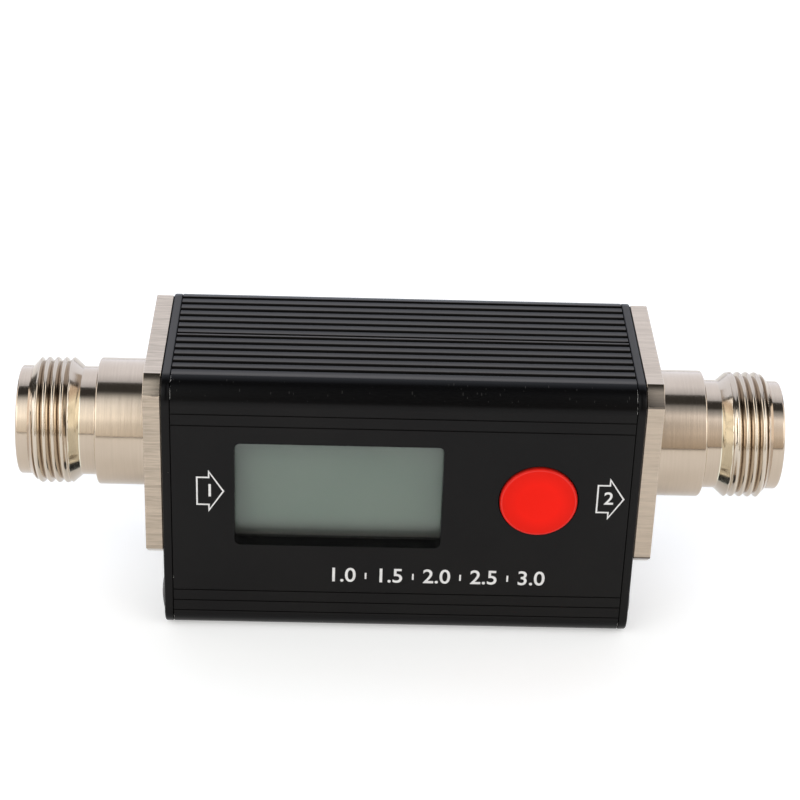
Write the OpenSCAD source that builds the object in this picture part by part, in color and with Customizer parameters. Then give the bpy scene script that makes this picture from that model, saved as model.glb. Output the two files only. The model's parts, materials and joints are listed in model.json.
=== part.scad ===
// Inline digital SWR meter: a split extruded case with a threaded coaxial socket on each end,
// a recessed display and one round push button.
// Millimetres. The display faces -Y, the sockets lie along X, and the ribbed base stands on Z = 0.

/* [Case] */
// Length of the two extruded shells
shell_length = 56; // [51:0.5:80]
// Height of the case
case_height = 35.4; // [32:0.1:42]
// Depth of the case, front to back
case_depth = 26.2; // [24:0.1:32]
// Wall of the shells
wall = 2; // [1.6:0.1:2.4]
// Radius of the long edges
edge_radius = 2.4; // [1:0.1:3]
// Radius inside the long edges
inner_radius = 0.5; // [0.2:0.1:1]
// Thickness of each end plate
plate_thickness = 1.2; // [1:0.1:3]
// Distance of the shells' joint behind the middle of the top
joint_offset = 0.26; // [0:0.02:0.4]
// Width of the lap where one shell's lip lies under the other
lap_width = 1; // [0.5:0.1:1.4]
// Thickness of the lap
lap_thickness = 0.9; // [0.5:0.1:1.2]
// Radius of the bosses that hold the end screws
boss_radius = 2.3; // [2:0.05:2.4]
// Height of the rails that hold the display board
rail_height = 1.2; // [0.8:0.1:2]
// Width of each rail
rail_width = 0.95; // [0.6:0.05:1.2]

/* [Ribs] */
// Number of grooves on each shell's top and bottom
groove_count = 6; // [3:1:6]
// Distance between grooves
groove_pitch = 1.64; // [1.3:0.02:1.68]
// Width of a groove
groove_width = 0.45; // [0.3:0.05:0.6]
// Depth of a groove
groove_depth = 0.5; // [0.3:0.05:0.8]
// Bevel at a groove's mouth
groove_bevel = 0.12; // [0.05:0.01:0.2]
// First groove from the joint, on the lip's side
near_groove = 0.86; // [0.7:0.02:1.2]
// First groove from the joint, on the other side
far_groove = 1.41; // [1:0.01:1.6]
// Distance between the fine lines on the front and back
line_pitch = 1.55; // [1.2:0.05:1.8]
// Width of a fine line
line_width = 0.22; // [0.1:0.02:0.4]
// Depth of a fine line
line_depth = 0.14; // [0.08:0.02:0.3]
// Lowest fine line, from the shell's near edge
low_line = 3.05; // [3:0.05:4]
// Number of lines there
low_line_count = 3; // [1:1:3]
// Highest fine line, from the shell's far edge
high_line = 4; // [3:0.05:4.5]
// Number of lines there
high_line_count = 2; // [1:1:2]

/* [Display] */
// Width of the window
window_width = 25.4; // [20:0.1:28]
// Height of the window
window_height = 14.46; // [10:0.02:16]
// Radius of the window's corners
window_radius = 0.7; // [0.3:0.1:2]
// Middle of the window, from the middle of the case
window_x = -7.64; // [-8.4:0.02:-6]
// Gap between the display's holder and the screw bosses above it
holder_gap = 0.3; // [0.1:0.02:2]
// Thickness of the clear cover behind the window
lens_thickness = 0.8; // [0.5:0.1:1.5]
// Margin of the cover around the window
lens_margin = 1; // [0.5:0.1:1]
// Thickness of a polarizing film
film_thickness = 0.2; // [0.1:0.05:0.4]
// Thickness of each display glass
glass_thickness = 0.7; // [0.4:0.1:1.1]
// Margin of the glass beside the window
glass_margin = 2.5; // [1.5:0.1:2.6]
// Width of the ledge that carries the glass contacts
contact_ledge = 1; // [0.8:0.05:1.1]
// Thickness of the holder's rim
holder_rim = 0.7; // [0.4:0.05:0.8]
// Distance of the display board behind the screw bosses
board_stand = 1.23; // [0.5:0.01:2]
// Thickness of a contact strip
strip_thickness = 0.8; // [0.5:0.05:0.85]

/* [Button] */
// Radius of the button
button_radius = 4.8; // [3:0.1:5.5]
// Height of the button above the case
button_rise = 0.45; // [0.41:0.01:1]
// Middle of the button, from the middle of the case
button_x = 16.86; // [16:0.02:18]
// Rounding of the button's edge
button_edge = 0.3; // [0.1:0.05:0.4]
// Width of the rim that keeps the button in
button_rim = 0.8; // [0.4:0.1:1]
// Thickness of that rim
button_rim_thickness = 0.8; // [0.5:0.1:1.2]
// Travel of the button
button_travel = 0.4; // [0.2:0.05:0.4]
// Radius of the foot that presses the switch
button_foot_radius = 2.2; // [1.5:0.1:2.5]
// Side of the square switch
switch_size = 6; // [6:0.1:8]
// Height of the switch's base
switch_height = 2; // [2:0.1:2.6]
// Thickness of the switch's cover
switch_cover_thickness = 0.3; // [0.2:0.05:0.5]
// Radius of the plunger
plunger_radius = 1.7; // [1.2:0.1:1.8]

/* [Connectors] */
// Side of the square flange
flange_size = 25.4; // [24.6:0.1:26]
// Thickness of the flange
flange_thickness = 2.15; // [2:0.05:4]
// Chamfer of the flange's corners
flange_chamfer = 2.05; // [0.5:0.05:2.5]
// Distance between the flange's screws
hole_spacing = 18.26; // [18:0.01:18.6]
// Diameter of the plain barrel
barrel_diameter = 16; // [14:0.1:17]
// Length of the plain barrel
barrel_length = 6.55; // [4:0.05:12]
// Diameter of the neck behind the thread and of the pilot before it
neck_diameter = 13.7; // [12:0.1:14.4]
// Length of the neck
neck_length = 2; // [1:0.1:4]
// Outer diameter of the thread
thread_diameter = 15.875; // [15.8:0.005:17]
// Pitch of the thread
thread_pitch = 1.0583; // [1:0.0001:1.3]
// Depth of the thread
thread_depth = 0.43; // [0.3:0.01:0.7]
// Number of turns of the thread
thread_turns = 6; // [3:1:8]
// Length of the pilot
pilot_length = 1.5; // [1:0.05:4]
// Chamfer of the pilot's and the barrel's edges
turned_chamfer = 0.35; // [0.1:0.05:0.6]
// Diameter of the socket
socket_diameter = 8.1; // [7.6:0.05:9]
// Depth of the socket
socket_depth = 9.1; // [7:0.1:12]
// Diameter of the insulator
insulator_diameter = 6.9; // [6:0.1:7.2]
// Diameter of the shoulder that keeps the insulator in
shoulder_diameter = 8.4; // [8.2:0.1:10]
// Length of that shoulder
shoulder_length = 3; // [1:0.1:4]
// Reach of the insulator inside the case
insulator_reach = 3; // [1:0.1:3.5]
// Diameter of the centre contact
contact_diameter = 3.05; // [2.6:0.05:3.4]
// Diameter of the hole in the contact's tip
contact_bore = 1.66; // [1.4:0.02:1.9]
// Depth of that hole
contact_bore_depth = 4; // [2:0.1:6]
// Width of the slots in the contact's tip
contact_slot = 0.3; // [0.2:0.05:0.5]
// Distance of the contact's tip behind the socket's mouth
contact_recess = 4.6; // [2:0.1:6]
// Diameter of the contact's solder tail
tail_diameter = 1.3; // [1:0.1:2]
// Length of the solder tail
tail_length = 4; // [2:0.1:8]
// Distance of the tail's flat behind the sockets' axis
tail_flat = 0.3; // [0.1:0.05:0.4]

/* [Boards] */
// Thickness of both circuit boards
board_thickness = 1.6; // [0.8:0.1:2]
// Height of the radio board's top edge above the sockets' axis
radio_board_rise = 7.3; // [6:0.1:8]
// Gap between the radio board and the case's floor
radio_floor_gap = 3.4; // [2:0.1:4]
// Thickness of the copper lines
line_copper = 0.3; // [0.1:0.05:0.5]
// Width of the line between the sockets
through_width = 3; // [2:0.1:3.6]
// Length of the sensing lines
sense_length = 26; // [20:0.5:30]
// Width of a sensing line
sense_width = 1; // [0.5:0.1:1.4]
// Gap between the through line and a sensing line
sense_gap = 0.8; // [0.5:0.1:1.2]
// Distance of the spacers from the radio board's ends
spacer_end_inset = 4.1; // [3:0.1:6]
// Distance of the spacers from the radio board's top and bottom edges
spacer_inset = 2.6; // [2.3:0.1:3]
// Radius of a spacer
spacer_radius = 2; // [1.7:0.1:2.4]
// Diameter of the coin cell
cell_diameter = 20; // [16:0.1:21]
// Thickness of the coin cell
cell_thickness = 3.2; // [2:0.1:4]

/* [Screws] */
// Diameter of the case screws
screw_diameter = 3; // [2.5:0.1:3.2]
// Length of the upper flange screws, head included
flange_screw_length = 8; // [5:0.1:12]
// Length of the plate screws under the head
plate_screw_length = 8; // [5:0.5:12]
// Diameter of a plate screw's head
plate_head_diameter = 5; // [4.5:0.1:5.6]
// Height of a plate screw's head
plate_head_height = 0.5; // [0.5:0.05:1.6]
// Diameter of the board screws
board_screw_diameter = 2; // [1.6:0.1:2.2]

/* [Clearances] */
// Room around a screw in the hole it passes through
screw_clearance = 0.15; // [0.1:0.05:0.3]
// Room around a screw in the hole that holds it
thread_clearance = 0.05; // [0.02:0.01:0.1]
// Room between the button and its hole
button_clearance = 0.1; // [0.05:0.01:0.1]
// Room between pieces that slide in or stand beside each other
seat_clearance = 0.1; // [0.05:0.01:0.15]
// Room between a board and the sides of its rails
slot_clearance = 0.05; // [0.02:0.01:0.1]

/* [Hidden] */
$fn = 64;

// Overshoot of a cut past the face that it opens
cut = 0.1;
in_side = -1;
out_side = 1;

// Case, seen along X
front_y = -case_depth / 2;
front_inside_y = front_y + wall;
middle_z = case_height / 2;
axis_z = case_height - flange_size / 2;
plate_x = shell_length / 2 + plate_thickness;

// Screws at the ends
screw_radius = screw_diameter / 2;
passing_radius = screw_radius + screw_clearance;
holding_radius = screw_radius + thread_clearance;
screw_y = hole_spacing / 2;
upper_screw_z = axis_z + hole_spacing / 2;
middle_screw_z = axis_z - hole_spacing / 2;
lower_screw_z = case_height - upper_screw_z;
countersink_share = 1.8;
countersink_radius = countersink_share * screw_radius;
countersink_depth = countersink_radius - screw_radius;
recess_length_share = 1.6;
recess_length = recess_length_share * screw_radius;
recess_width_share = 0.35;
recess_width = recess_width_share * screw_radius;
recess_depth_share = 0.8;
dome_top_share = 0.8;
plate_bite = flange_thickness + plate_thickness;

// Display, from the window back to its board
polarizer_y = front_inside_y + lens_thickness;
front_glass_y = polarizer_y + film_thickness;
rear_glass_y = front_glass_y + glass_thickness;
reflector_y = rear_glass_y + glass_thickness;
deck_y = reflector_y + film_thickness;
board_y = -screw_y + boss_radius + board_stand;
deck_height = board_y - deck_y;
board_back_y = board_y + board_thickness;
glass_width = window_width + 2 * glass_margin;
glass_height = window_height + 2 * contact_ledge;
pocket_width = glass_width + 2 * seat_clearance;
pocket_height = glass_height + 2 * seat_clearance;
holder_front_y = front_glass_y + seat_clearance;
holder_height = pocket_height + 2 * holder_rim;

// Middle line of the window and the button
panel_line = upper_screw_z - boss_radius - holder_gap - holder_height / 2;

// Button and switch, from the front back to the board
button_face_y = front_y - button_rise;
button_rim_y = front_inside_y + seat_clearance;
button_rim_back_y = button_rim_y + button_rim_thickness;
switch_cover_y = board_y - switch_height - switch_cover_thickness;
plunger_rise = (switch_cover_y - button_rim_back_y) / 2;
plunger_top_y = switch_cover_y - plunger_rise;
plunger_flange = 0.5;
plunger_flange_radius = plunger_radius + plunger_flange;
cavity_radius = plunger_flange_radius + 2 * seat_clearance;
cavity_floor = 0.3;
cavity_depth = switch_height - cavity_floor;
dome_height = cavity_depth - 2 * slot_clearance - plunger_flange - button_travel;
dome_thickness = 0.12;
terminal_length = 1.2;
terminal_width = 0.8;
terminal_thickness = 0.2;

// Connectors, outwards from the end plate's face
thread_angle = 60;
barrel_end = flange_thickness + barrel_length;
thread_start = barrel_end + neck_length;
thread_end = thread_start + thread_turns * thread_pitch;
socket_mouth = thread_end + pilot_length;
socket_floor = socket_mouth - socket_depth;
contact_tip = socket_mouth - contact_recess;
crest_radius = thread_diameter / 2;
root_radius = crest_radius - thread_depth;
flank = thread_depth * tan(thread_angle / 2);
neck_radius = neck_diameter / 2;
barrel_radius = barrel_diameter / 2;
insulator_radius = insulator_diameter / 2;
insulator_back = -plate_thickness - insulator_reach;
plate_bore_radius = insulator_radius + 2 * seat_clearance;

// Boards
board_half_length = plate_x + insulator_back - 4 * seat_clearance;
display_board_height = case_height - 2 * wall - 2 * seat_clearance;
radio_y = tail_flat + line_copper;
radio_back_y = radio_y + board_thickness;
board_gap = radio_y - board_back_y;
radio_bottom_z = wall + radio_floor_gap;
radio_top_z = axis_z + radio_board_rise;
radio_middle_z = (radio_bottom_z + radio_top_z) / 2;
spacer_x = board_half_length - spacer_end_inset;
spacer_heights = [radio_bottom_z + spacer_inset, radio_top_z - spacer_inset];
sense_offset = through_width / 2 + sense_gap + sense_width / 2;
board_screw_radius = board_screw_diameter / 2;
board_screw_bite = 3;
board_head_height = 1.2;
board_head_share = 1.9;
board_head_radius = board_head_share * board_screw_radius;

// Plug and socket between the boards
plug_pins = 6;
pin_spacing = 2;
pin_width = 0.5;
pin_bite = 1.2;
plug_width = 4;
plug_end = 1;
plug_length = plug_pins * pin_spacing + 2 * plug_end;
plug_place = [0, radio_bottom_z + plug_width];
socket_height = board_gap / 2;

// Small parts on the boards as width, height and thickness, in a row above the plug
row_gap = 5.6;
row_z = plug_place[1] + row_gap;
controller_size = [5, 5, 0.9];
controller_place = [11, row_z];
crystal_size = [3.2, 2.5, 0.8];
crystal_place = [17, row_z];
regulator_size = [2.9, 1.6, 1.1];
regulator_place = [-15, row_z];
capacitor_size = [1.6, 0.8, 0.8];
capacitor_columns = [7, 5, -19, -11];
diode_size = [1.8, 1.3, 1];
resistor_size = [2, 1.25, 0.6];

// Coin cell on the back of the radio board
cell_radius = cell_diameter / 2;
cell_floor = 0.8;
cell_wall = 1.1;
cell_wall_share = 0.8;
cell_wall_height = cell_wall_share * cell_thickness;
cell_step = 0.3;
cell_holder_radius = cell_radius + seat_clearance + cell_wall;
cell_notch = 8;
clip_width = 5;
clip_thickness = 0.4;

black = "#2c2c2d";
nickel = "#cfc7ba";
steel = "#b9bcc0";
brass = "#c9a655";
board_green = "#1f6b3f";

// Outlines

module rounded_rect(width, height, radius) {
    square([width - 2 * radius, height], center = true);
    square([width, height - 2 * radius], center = true);
    for (side = [-1, 1])
        for (end = [-1, 1])
            translate([side * (width / 2 - radius), end * (height / 2 - radius)])
                circle(radius);
}

module case_outline() {
    translate([0, middle_z])
        rounded_rect(case_depth, case_height, edge_radius);
}

module cavity_outline() {
    translate([0, middle_z])
        rounded_rect(case_depth - 2 * wall, case_height - 2 * wall, inner_radius);
}

// The front half of the case's section, with a lip at the top and a step for the other shell's lip below
module joint_side() {
    lip_z = case_height - wall + lap_thickness;
    lip_y = joint_offset + lap_width;
    polygon([
        [-case_depth, 2 * case_height],
        [joint_offset, 2 * case_height],
        [joint_offset, lip_z],
        [lip_y, lip_z],
        [lip_y, middle_z],
        [-lip_y, middle_z],
        [-lip_y, case_height - lip_z],
        [-joint_offset, case_height - lip_z],
        [-joint_offset, -case_height],
        [-case_depth, -case_height]
    ]);
}

// A groove with a bevelled mouth, cut down from the line y = 0
module groove_outline() {
    half = groove_width / 2;
    mouth = half + groove_bevel;
    polygon([
        [-mouth, cut], [-mouth, 0], [-half, -groove_bevel], [-half, -groove_depth],
        [half, -groove_depth], [half, -groove_bevel], [mouth, 0], [mouth, cut]
    ]);
}

module shell_grooves() {
    for (i = [0 : groove_count - 1]) {
        translate([joint_offset - near_groove - i * groove_pitch, case_height])
            groove_outline();
        translate([-joint_offset - far_groove - i * groove_pitch, 0])
            mirror([0, 1])
                groove_outline();
    }
}

module shell_lines() {
    low = [for (i = [0 : low_line_count - 1]) low_line + i * line_pitch];
    high = [for (i = [0 : high_line_count - 1]) case_height - high_line - i * line_pitch];
    for (z = concat(low, high))
        translate([front_y - cut, z - line_width / 2])
            square([line_depth + cut, line_width]);
}

module shell_rails() {
    first = board_y - slot_clearance - rail_width;
    second = board_back_y + slot_clearance;
    for (y = [first, second])
        for (z = [wall - cut, case_height - wall - rail_height])
            translate([y, z])
                square([rail_width, rail_height + cut]);
}

// Bosses for the end screws, each with a web into its corner of the case
module screw_bosses() {
    web_y = front_y + wall / 2;
    web_width = -screw_y - web_y;
    web_height = lower_screw_z - wall / 2;
    for (z = [lower_screw_z, upper_screw_z])
        translate([-screw_y, z])
            circle(boss_radius);
    translate([web_y, wall / 2])
        square([web_width, web_height]);
    translate([web_y, upper_screw_z])
        square([web_width, web_height]);
}

module shell_section() {
    difference() {
        union() {
            intersection() {
                difference() {
                    case_outline();
                    cavity_outline();
                }
                joint_side();
            }
            screw_bosses();
            shell_rails();
        }
        shell_grooves();
        shell_lines();
        for (z = [lower_screw_z, upper_screw_z])
            translate([-screw_y, z])
                circle(holding_radius);
    }
}

// Placing

// Extrudes an outline of Y and Z along X, about the middle
module along_x(length) {
    rotate([90, 0, 90])
        translate([0, 0, -length / 2])
            linear_extrude(length)
                children();
}

// Extrudes an outline of X and Z backwards from y
module slab(y, thickness) {
    translate([0, y + thickness, 0])
        rotate([90, 0, 0])
            linear_extrude(thickness)
                children();
}

// Turns a piece so that its own Z points to the back of the case
module facing_back(x, y, z) {
    translate([x, y, z])
        rotate([-90, 0, 0])
            children();
}

// Turns a piece so that its own Z points to the front of the case
module facing_front(x, y, z) {
    translate([x, y, z])
        rotate([90, 0, 0])
            children();
}

// Turns a piece so that its own Z points outwards from an end plate's face
module outwards(side, y, z) {
    translate([side * plate_x, y, z])
        rotate([0, side * 90, 0])
            children();
}

// A block of [width, height, thickness] standing on a board's back or front face
module on_face(place, size, y) {
    translate([place[0] - size[0] / 2, y, place[1] - size[1] / 2])
        cube([size[0], size[2], size[1]]);
}

// Case

module shell_half() {
    along_x(shell_length)
        shell_section();
}

module front_shell() {
    color(black)
        difference() {
            shell_half();
            slab(front_y - cut, wall + 2 * cut)
                translate([window_x, panel_line])
                    rounded_rect(window_width, window_height, window_radius);
            facing_back(button_x, front_y - cut, panel_line)
                cylinder(h = wall + 2 * cut, r = button_radius + button_clearance);
        }
}

// The rear shell is the same extrusion, turned end over end
module rear_shell() {
    color(black)
        translate([0, 0, case_height])
            rotate([180, 0, 0])
                shell_half();
}

module plate_hole(side, y, z, radius) {
    outwards(side, y, z)
        translate([0, 0, -plate_thickness - cut])
            cylinder(h = plate_thickness + 2 * cut, r = radius);
}

module end_plate(side) {
    color(black)
        difference() {
            translate([side * (plate_x - plate_thickness / 2), 0, 0])
                along_x(plate_thickness)
                    case_outline();
            plate_hole(side, 0, axis_z, plate_bore_radius);
            for (y = [-screw_y, screw_y]) {
                plate_hole(side, y, upper_screw_z, passing_radius);
                plate_hole(side, y, middle_screw_z, holding_radius);
                plate_hole(side, y, lower_screw_z, passing_radius);
            }
        }
}

module in_end_plate() {
    end_plate(in_side);
}

module out_end_plate() {
    end_plate(out_side);
}

// Screws

module cross_recess(depth) {
    for (turn = [0, 90])
        rotate(turn)
            translate([-recess_length / 2, -recess_width / 2, -depth])
                cube([recess_length, recess_width, depth + cut]);
}

// Head's top at Z = 0
module countersunk_screw(length) {
    difference() {
        union() {
            translate([0, 0, -countersink_depth])
                cylinder(h = countersink_depth, r1 = screw_radius, r2 = countersink_radius);
            translate([0, 0, -length])
                cylinder(h = length - countersink_depth, r = screw_radius);
        }
        cross_recess(recess_depth_share * countersink_depth);
    }
}

// Head's underside at Z = 0
module domed_screw() {
    shoulder = plate_head_height / 2;
    head_radius = plate_head_diameter / 2;
    difference() {
        union() {
            cylinder(h = shoulder, r = head_radius);
            translate([0, 0, shoulder])
                cylinder(h = plate_head_height - shoulder, r1 = head_radius,
                         r2 = dome_top_share * head_radius);
            translate([0, 0, -plate_screw_length])
                cylinder(h = plate_screw_length, r = screw_radius);
        }
        translate([0, 0, plate_head_height])
            cross_recess(recess_depth_share * plate_head_height);
    }
}

// The upper screws reach the shells, and the lower ones end in the plate
module flange_screws(side) {
    color(nickel)
        for (y = [-screw_y, screw_y]) {
            outwards(side, y, upper_screw_z)
                translate([0, 0, flange_thickness])
                    countersunk_screw(flange_screw_length);
            outwards(side, y, middle_screw_z)
                translate([0, 0, flange_thickness])
                    countersunk_screw(plate_bite);
        }
}

module in_flange_screws() {
    flange_screws(in_side);
}

module out_flange_screws() {
    flange_screws(out_side);
}

module plate_screws(side) {
    color(black)
        for (y = [-screw_y, screw_y])
            outwards(side, y, lower_screw_z)
                domed_screw();
}

module in_plate_screws() {
    plate_screws(in_side);
}

module out_plate_screws() {
    plate_screws(out_side);
}

// Connectors

module flange_outline() {
    half = flange_size / 2;
    short = half - flange_chamfer;
    polygon([
        [short, half], [half, short], [half, -short], [short, -half],
        [-short, -half], [-half, -short], [-half, short], [-short, half]
    ]);
}

// One ring of the thread, as radius and height, between sharp grooves
function thread_points(i) =
    let (z = thread_start + i * thread_pitch)
    [
        [root_radius, z],
        [crest_radius, z + flank],
        [crest_radius, z + thread_pitch - flank]
    ];

// Turned outline from the flange to the mouth, as radius and height
module turned_outline() {
    before = [
        [0, 0],
        [barrel_radius, 0],
        [barrel_radius, barrel_end - turned_chamfer],
        [barrel_radius - turned_chamfer, barrel_end],
        [neck_radius, barrel_end],
        [neck_radius, thread_start]
    ];
    thread = [for (i = [0 : thread_turns - 1]) each thread_points(i)];
    after = [
        [root_radius, thread_end],
        [neck_radius, thread_end],
        [neck_radius, socket_mouth - turned_chamfer],
        [neck_radius - turned_chamfer, socket_mouth],
        [0, socket_mouth]
    ];
    polygon(concat(before, thread, after));
}

module connector_shell(side) {
    socket_radius = socket_diameter / 2;
    color(nickel)
        outwards(side, 0, axis_z)
            difference() {
                union() {
                    linear_extrude(flange_thickness)
                        flange_outline();
                    rotate_extrude()
                        turned_outline();
                }
                translate([0, 0, socket_floor])
                    cylinder(h = socket_depth + cut, r = socket_radius);
                translate([0, 0, socket_mouth - turned_chamfer])
                    cylinder(h = turned_chamfer, r1 = socket_radius, r2 = socket_radius + turned_chamfer);
                translate([0, 0, -cut])
                    cylinder(h = socket_floor + 2 * cut, r = insulator_radius + thread_clearance);
                translate([0, 0, -cut])
                    cylinder(h = shoulder_length + cut, r = shoulder_diameter / 2 + thread_clearance);
                for (x = [-screw_y, screw_y])
                    for (y = [-screw_y, screw_y])
                        translate([x, y, 0])
                            flange_hole();
            }
}

module flange_hole() {
    translate([0, 0, -cut])
        cylinder(h = flange_thickness + 2 * cut, r = passing_radius);
    translate([0, 0, flange_thickness - countersink_depth])
        cylinder(h = countersink_depth, r1 = screw_radius + thread_clearance,
                 r2 = countersink_radius + thread_clearance);
}

module in_connector_shell() {
    connector_shell(in_side);
}

module out_connector_shell() {
    connector_shell(out_side);
}

module insulator(side) {
    color("#efece2")
        outwards(side, 0, axis_z)
            difference() {
                union() {
                    translate([0, 0, insulator_back])
                        cylinder(h = socket_floor - insulator_back, r = insulator_radius);
                    cylinder(h = shoulder_length, r = shoulder_diameter / 2);
                }
                translate([0, 0, insulator_back - cut])
                    cylinder(h = socket_floor - insulator_back + 2 * cut,
                             r = contact_diameter / 2 + thread_clearance);
            }
}

module in_insulator() {
    insulator(in_side);
}

module out_insulator() {
    insulator(out_side);
}

module contact(side) {
    tail_radius = tail_diameter / 2;
    color(brass)
        outwards(side, 0, axis_z) {
            difference() {
                translate([0, 0, insulator_back])
                    cylinder(h = contact_tip - insulator_back, r = contact_diameter / 2);
                translate([0, 0, contact_tip - contact_bore_depth])
                    cylinder(h = contact_bore_depth + cut, r = contact_bore / 2);
                for (turn = [0, 90])
                    rotate(turn)
                        translate([-contact_diameter, -contact_slot / 2, contact_tip - contact_bore_depth])
                            cube([2 * contact_diameter, contact_slot, contact_bore_depth + cut]);
            }
            difference() {
                translate([0, 0, insulator_back - tail_length])
                    cylinder(h = tail_length + cut, r = tail_radius);
                translate([-tail_diameter, tail_flat, insulator_back - tail_length - cut])
                    cube([2 * tail_diameter, tail_diameter, tail_length + cut]);
            }
        }
}

module in_contact() {
    contact(in_side);
}

module out_contact() {
    contact(out_side);
}

// Display

module on_window(width, height) {
    translate([window_x, panel_line])
        square([width, height], center = true);
}

module lcd_window() {
    color("#d8dedb", 0.5)
        slab(front_inside_y, lens_thickness)
            on_window(window_width + 2 * lens_margin, window_height + 2 * lens_margin);
}

module front_polarizer() {
    color("#8d9b92")
        slab(polarizer_y, film_thickness)
            on_window(window_width + 2 * lens_margin, window_height);
}

module lcd_front_glass() {
    color("#9aa8a0", 0.6)
        slab(front_glass_y, glass_thickness)
            on_window(glass_width, glass_height);
}

module lcd_rear_glass() {
    color("#9aa8a0", 0.6)
        slab(rear_glass_y, glass_thickness)
            on_window(glass_width, window_height);
}

module lcd_reflector() {
    color("#9caa9f")
        slab(reflector_y, film_thickness)
            on_window(window_width + 2 * lens_margin, window_height);
}

module lcd_holder() {
    channel = contact_ledge + seat_clearance;
    color("#e4e4df")
        difference() {
            slab(holder_front_y, board_y - holder_front_y)
                on_window(pocket_width + 2 * holder_rim, holder_height);
            slab(holder_front_y - cut, deck_y - holder_front_y + cut)
                on_window(pocket_width, pocket_height);
            for (end = [-1, 1])
                translate([0, 0, end * (window_height + channel) / 2])
                    slab(deck_y - cut, deck_height + 2 * cut)
                        on_window(glass_width, channel);
        }
}

module contact_strips() {
    color("#d9828c")
        for (end = [-1, 1])
            translate([0, 0, end * (window_height + contact_ledge) / 2])
                slab(rear_glass_y, board_y - rear_glass_y)
                    on_window(glass_width - 2 * seat_clearance, strip_thickness);
}

// Button

module button_cap() {
    face = button_rim_y - button_face_y;
    foot = plunger_top_y - button_rim_back_y;
    color("#e2231a") {
        facing_front(button_x, button_rim_y, panel_line)
            rotate_extrude() {
                square([button_radius - button_edge, face]);
                square([button_radius, face - button_edge]);
                translate([button_radius - button_edge, face - button_edge])
                    intersection() {
                        circle(button_edge);
                        square(button_edge);
                    }
            }
        facing_back(button_x, button_rim_y, panel_line)
            cylinder(h = button_rim_thickness, r = button_radius + button_rim);
        facing_back(button_x, button_rim_back_y, panel_line)
            cylinder(h = foot, r = button_foot_radius);
    }
}

module switch_base() {
    color("#1c1c1d")
        difference() {
            on_face([button_x, panel_line], [switch_size, switch_size, switch_height],
                    board_y - switch_height);
            facing_back(button_x, board_y - switch_height - cut, panel_line)
                cylinder(h = cavity_depth + cut, r = cavity_radius);
        }
}

module switch_cover() {
    color(steel)
        difference() {
            on_face([button_x, panel_line], [switch_size, switch_size, switch_cover_thickness],
                    switch_cover_y);
            facing_back(button_x, switch_cover_y - cut, panel_line)
                cylinder(h = switch_cover_thickness + 2 * cut, r = plunger_radius + button_clearance);
        }
}

module switch_plunger() {
    flange_y = switch_cover_y + switch_cover_thickness + slot_clearance;
    color("#d8d5cc") {
        facing_back(button_x, plunger_top_y, panel_line)
            cylinder(h = flange_y - plunger_top_y + cut, r = plunger_radius);
        facing_back(button_x, flange_y, panel_line)
            cylinder(h = plunger_flange, r = plunger_flange_radius);
    }
}

// Snap dome on the floor of the switch, drawn as it lies under the pressed plunger
module switch_dome() {
    rim = cavity_radius - seat_clearance;
    crown = rim / 2;
    color(steel)
        facing_front(button_x, board_y - cavity_floor, panel_line)
            rotate_extrude()
                polygon([
                    [0, dome_height], [crown, dome_height], [rim, dome_thickness], [rim, 0],
                    [rim - dome_thickness, 0], [crown - dome_thickness, dome_height - dome_thickness],
                    [0, dome_height - dome_thickness]
                ]);
}

module switch_terminals() {
    reach = (switch_size + terminal_length) / 2;
    rise = switch_size / 2 - terminal_width;
    size = [terminal_length, terminal_width, terminal_thickness];
    color(steel)
        for (side = [-1, 1])
            for (end = [-1, 1])
                on_face([button_x + side * reach, panel_line + end * rise], size,
                        board_y - terminal_thickness);
}

// Display board

module display_board() {
    size = [2 * board_half_length, display_board_height, board_thickness];
    color(board_green)
        on_face([0, middle_z], size, board_y);
}

module microcontroller() {
    color("#232426")
        on_face(controller_place, controller_size, board_back_y);
}

module clock_crystal() {
    color(steel)
        on_face(crystal_place, crystal_size, board_back_y);
}

module voltage_regulator() {
    color("#232426")
        on_face(regulator_place, regulator_size, board_back_y);
}

module bypass_capacitors() {
    color("#b08a5c")
        for (x = capacitor_columns)
            on_face([x, row_z], capacitor_size, board_back_y);
}

// Radio board

module spacer_places() {
    for (x = [-spacer_x, spacer_x])
        for (z = spacer_heights)
            translate([x, 0, z])
                children();
}

module radio_board() {
    size = [2 * board_half_length, radio_top_z - radio_bottom_z, board_thickness];
    color(board_green)
        difference() {
            on_face([0, radio_middle_z], size, radio_y);
            spacer_places()
                facing_back(0, radio_y - cut, 0)
                    cylinder(h = board_thickness + 2 * cut, r = board_screw_radius + screw_clearance);
        }
}

module through_line() {
    size = [2 * board_half_length, through_width, line_copper];
    color("#c77b48")
        on_face([0, axis_z], size, tail_flat);
}

module sense_lines() {
    size = [sense_length, sense_width, line_copper];
    color("#c77b48")
        for (end = [-1, 1])
            on_face([0, axis_z + end * sense_offset], size, tail_flat);
}

// Each sensing line has its diode at one end and its resistor at the other
module detector_diodes() {
    reach = (sense_length + diode_size[0]) / 2;
    color("#232426")
        for (end = [-1, 1])
            on_face([end * reach, axis_z + end * sense_offset], diode_size, radio_y - diode_size[2]);
}

module termination_resistors() {
    reach = (sense_length + resistor_size[0]) / 2;
    color("#3a3f46")
        for (end = [-1, 1])
            on_face([-end * reach, axis_z + end * sense_offset], resistor_size,
                    radio_y - resistor_size[2]);
}

module plug_pin_places() {
    for (i = [0 : plug_pins - 1])
        translate([(i - (plug_pins - 1) / 2) * pin_spacing, 0, 0])
            children();
}

module board_plug() {
    height = board_gap - socket_height;
    pin = [pin_width, pin_width, pin_bite + cut];
    color("#e6e2d4") {
        on_face(plug_place, [plug_length, plug_width, height], board_back_y);
        plug_pin_places()
            on_face(plug_place, pin, board_back_y + height - cut);
    }
}

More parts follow.
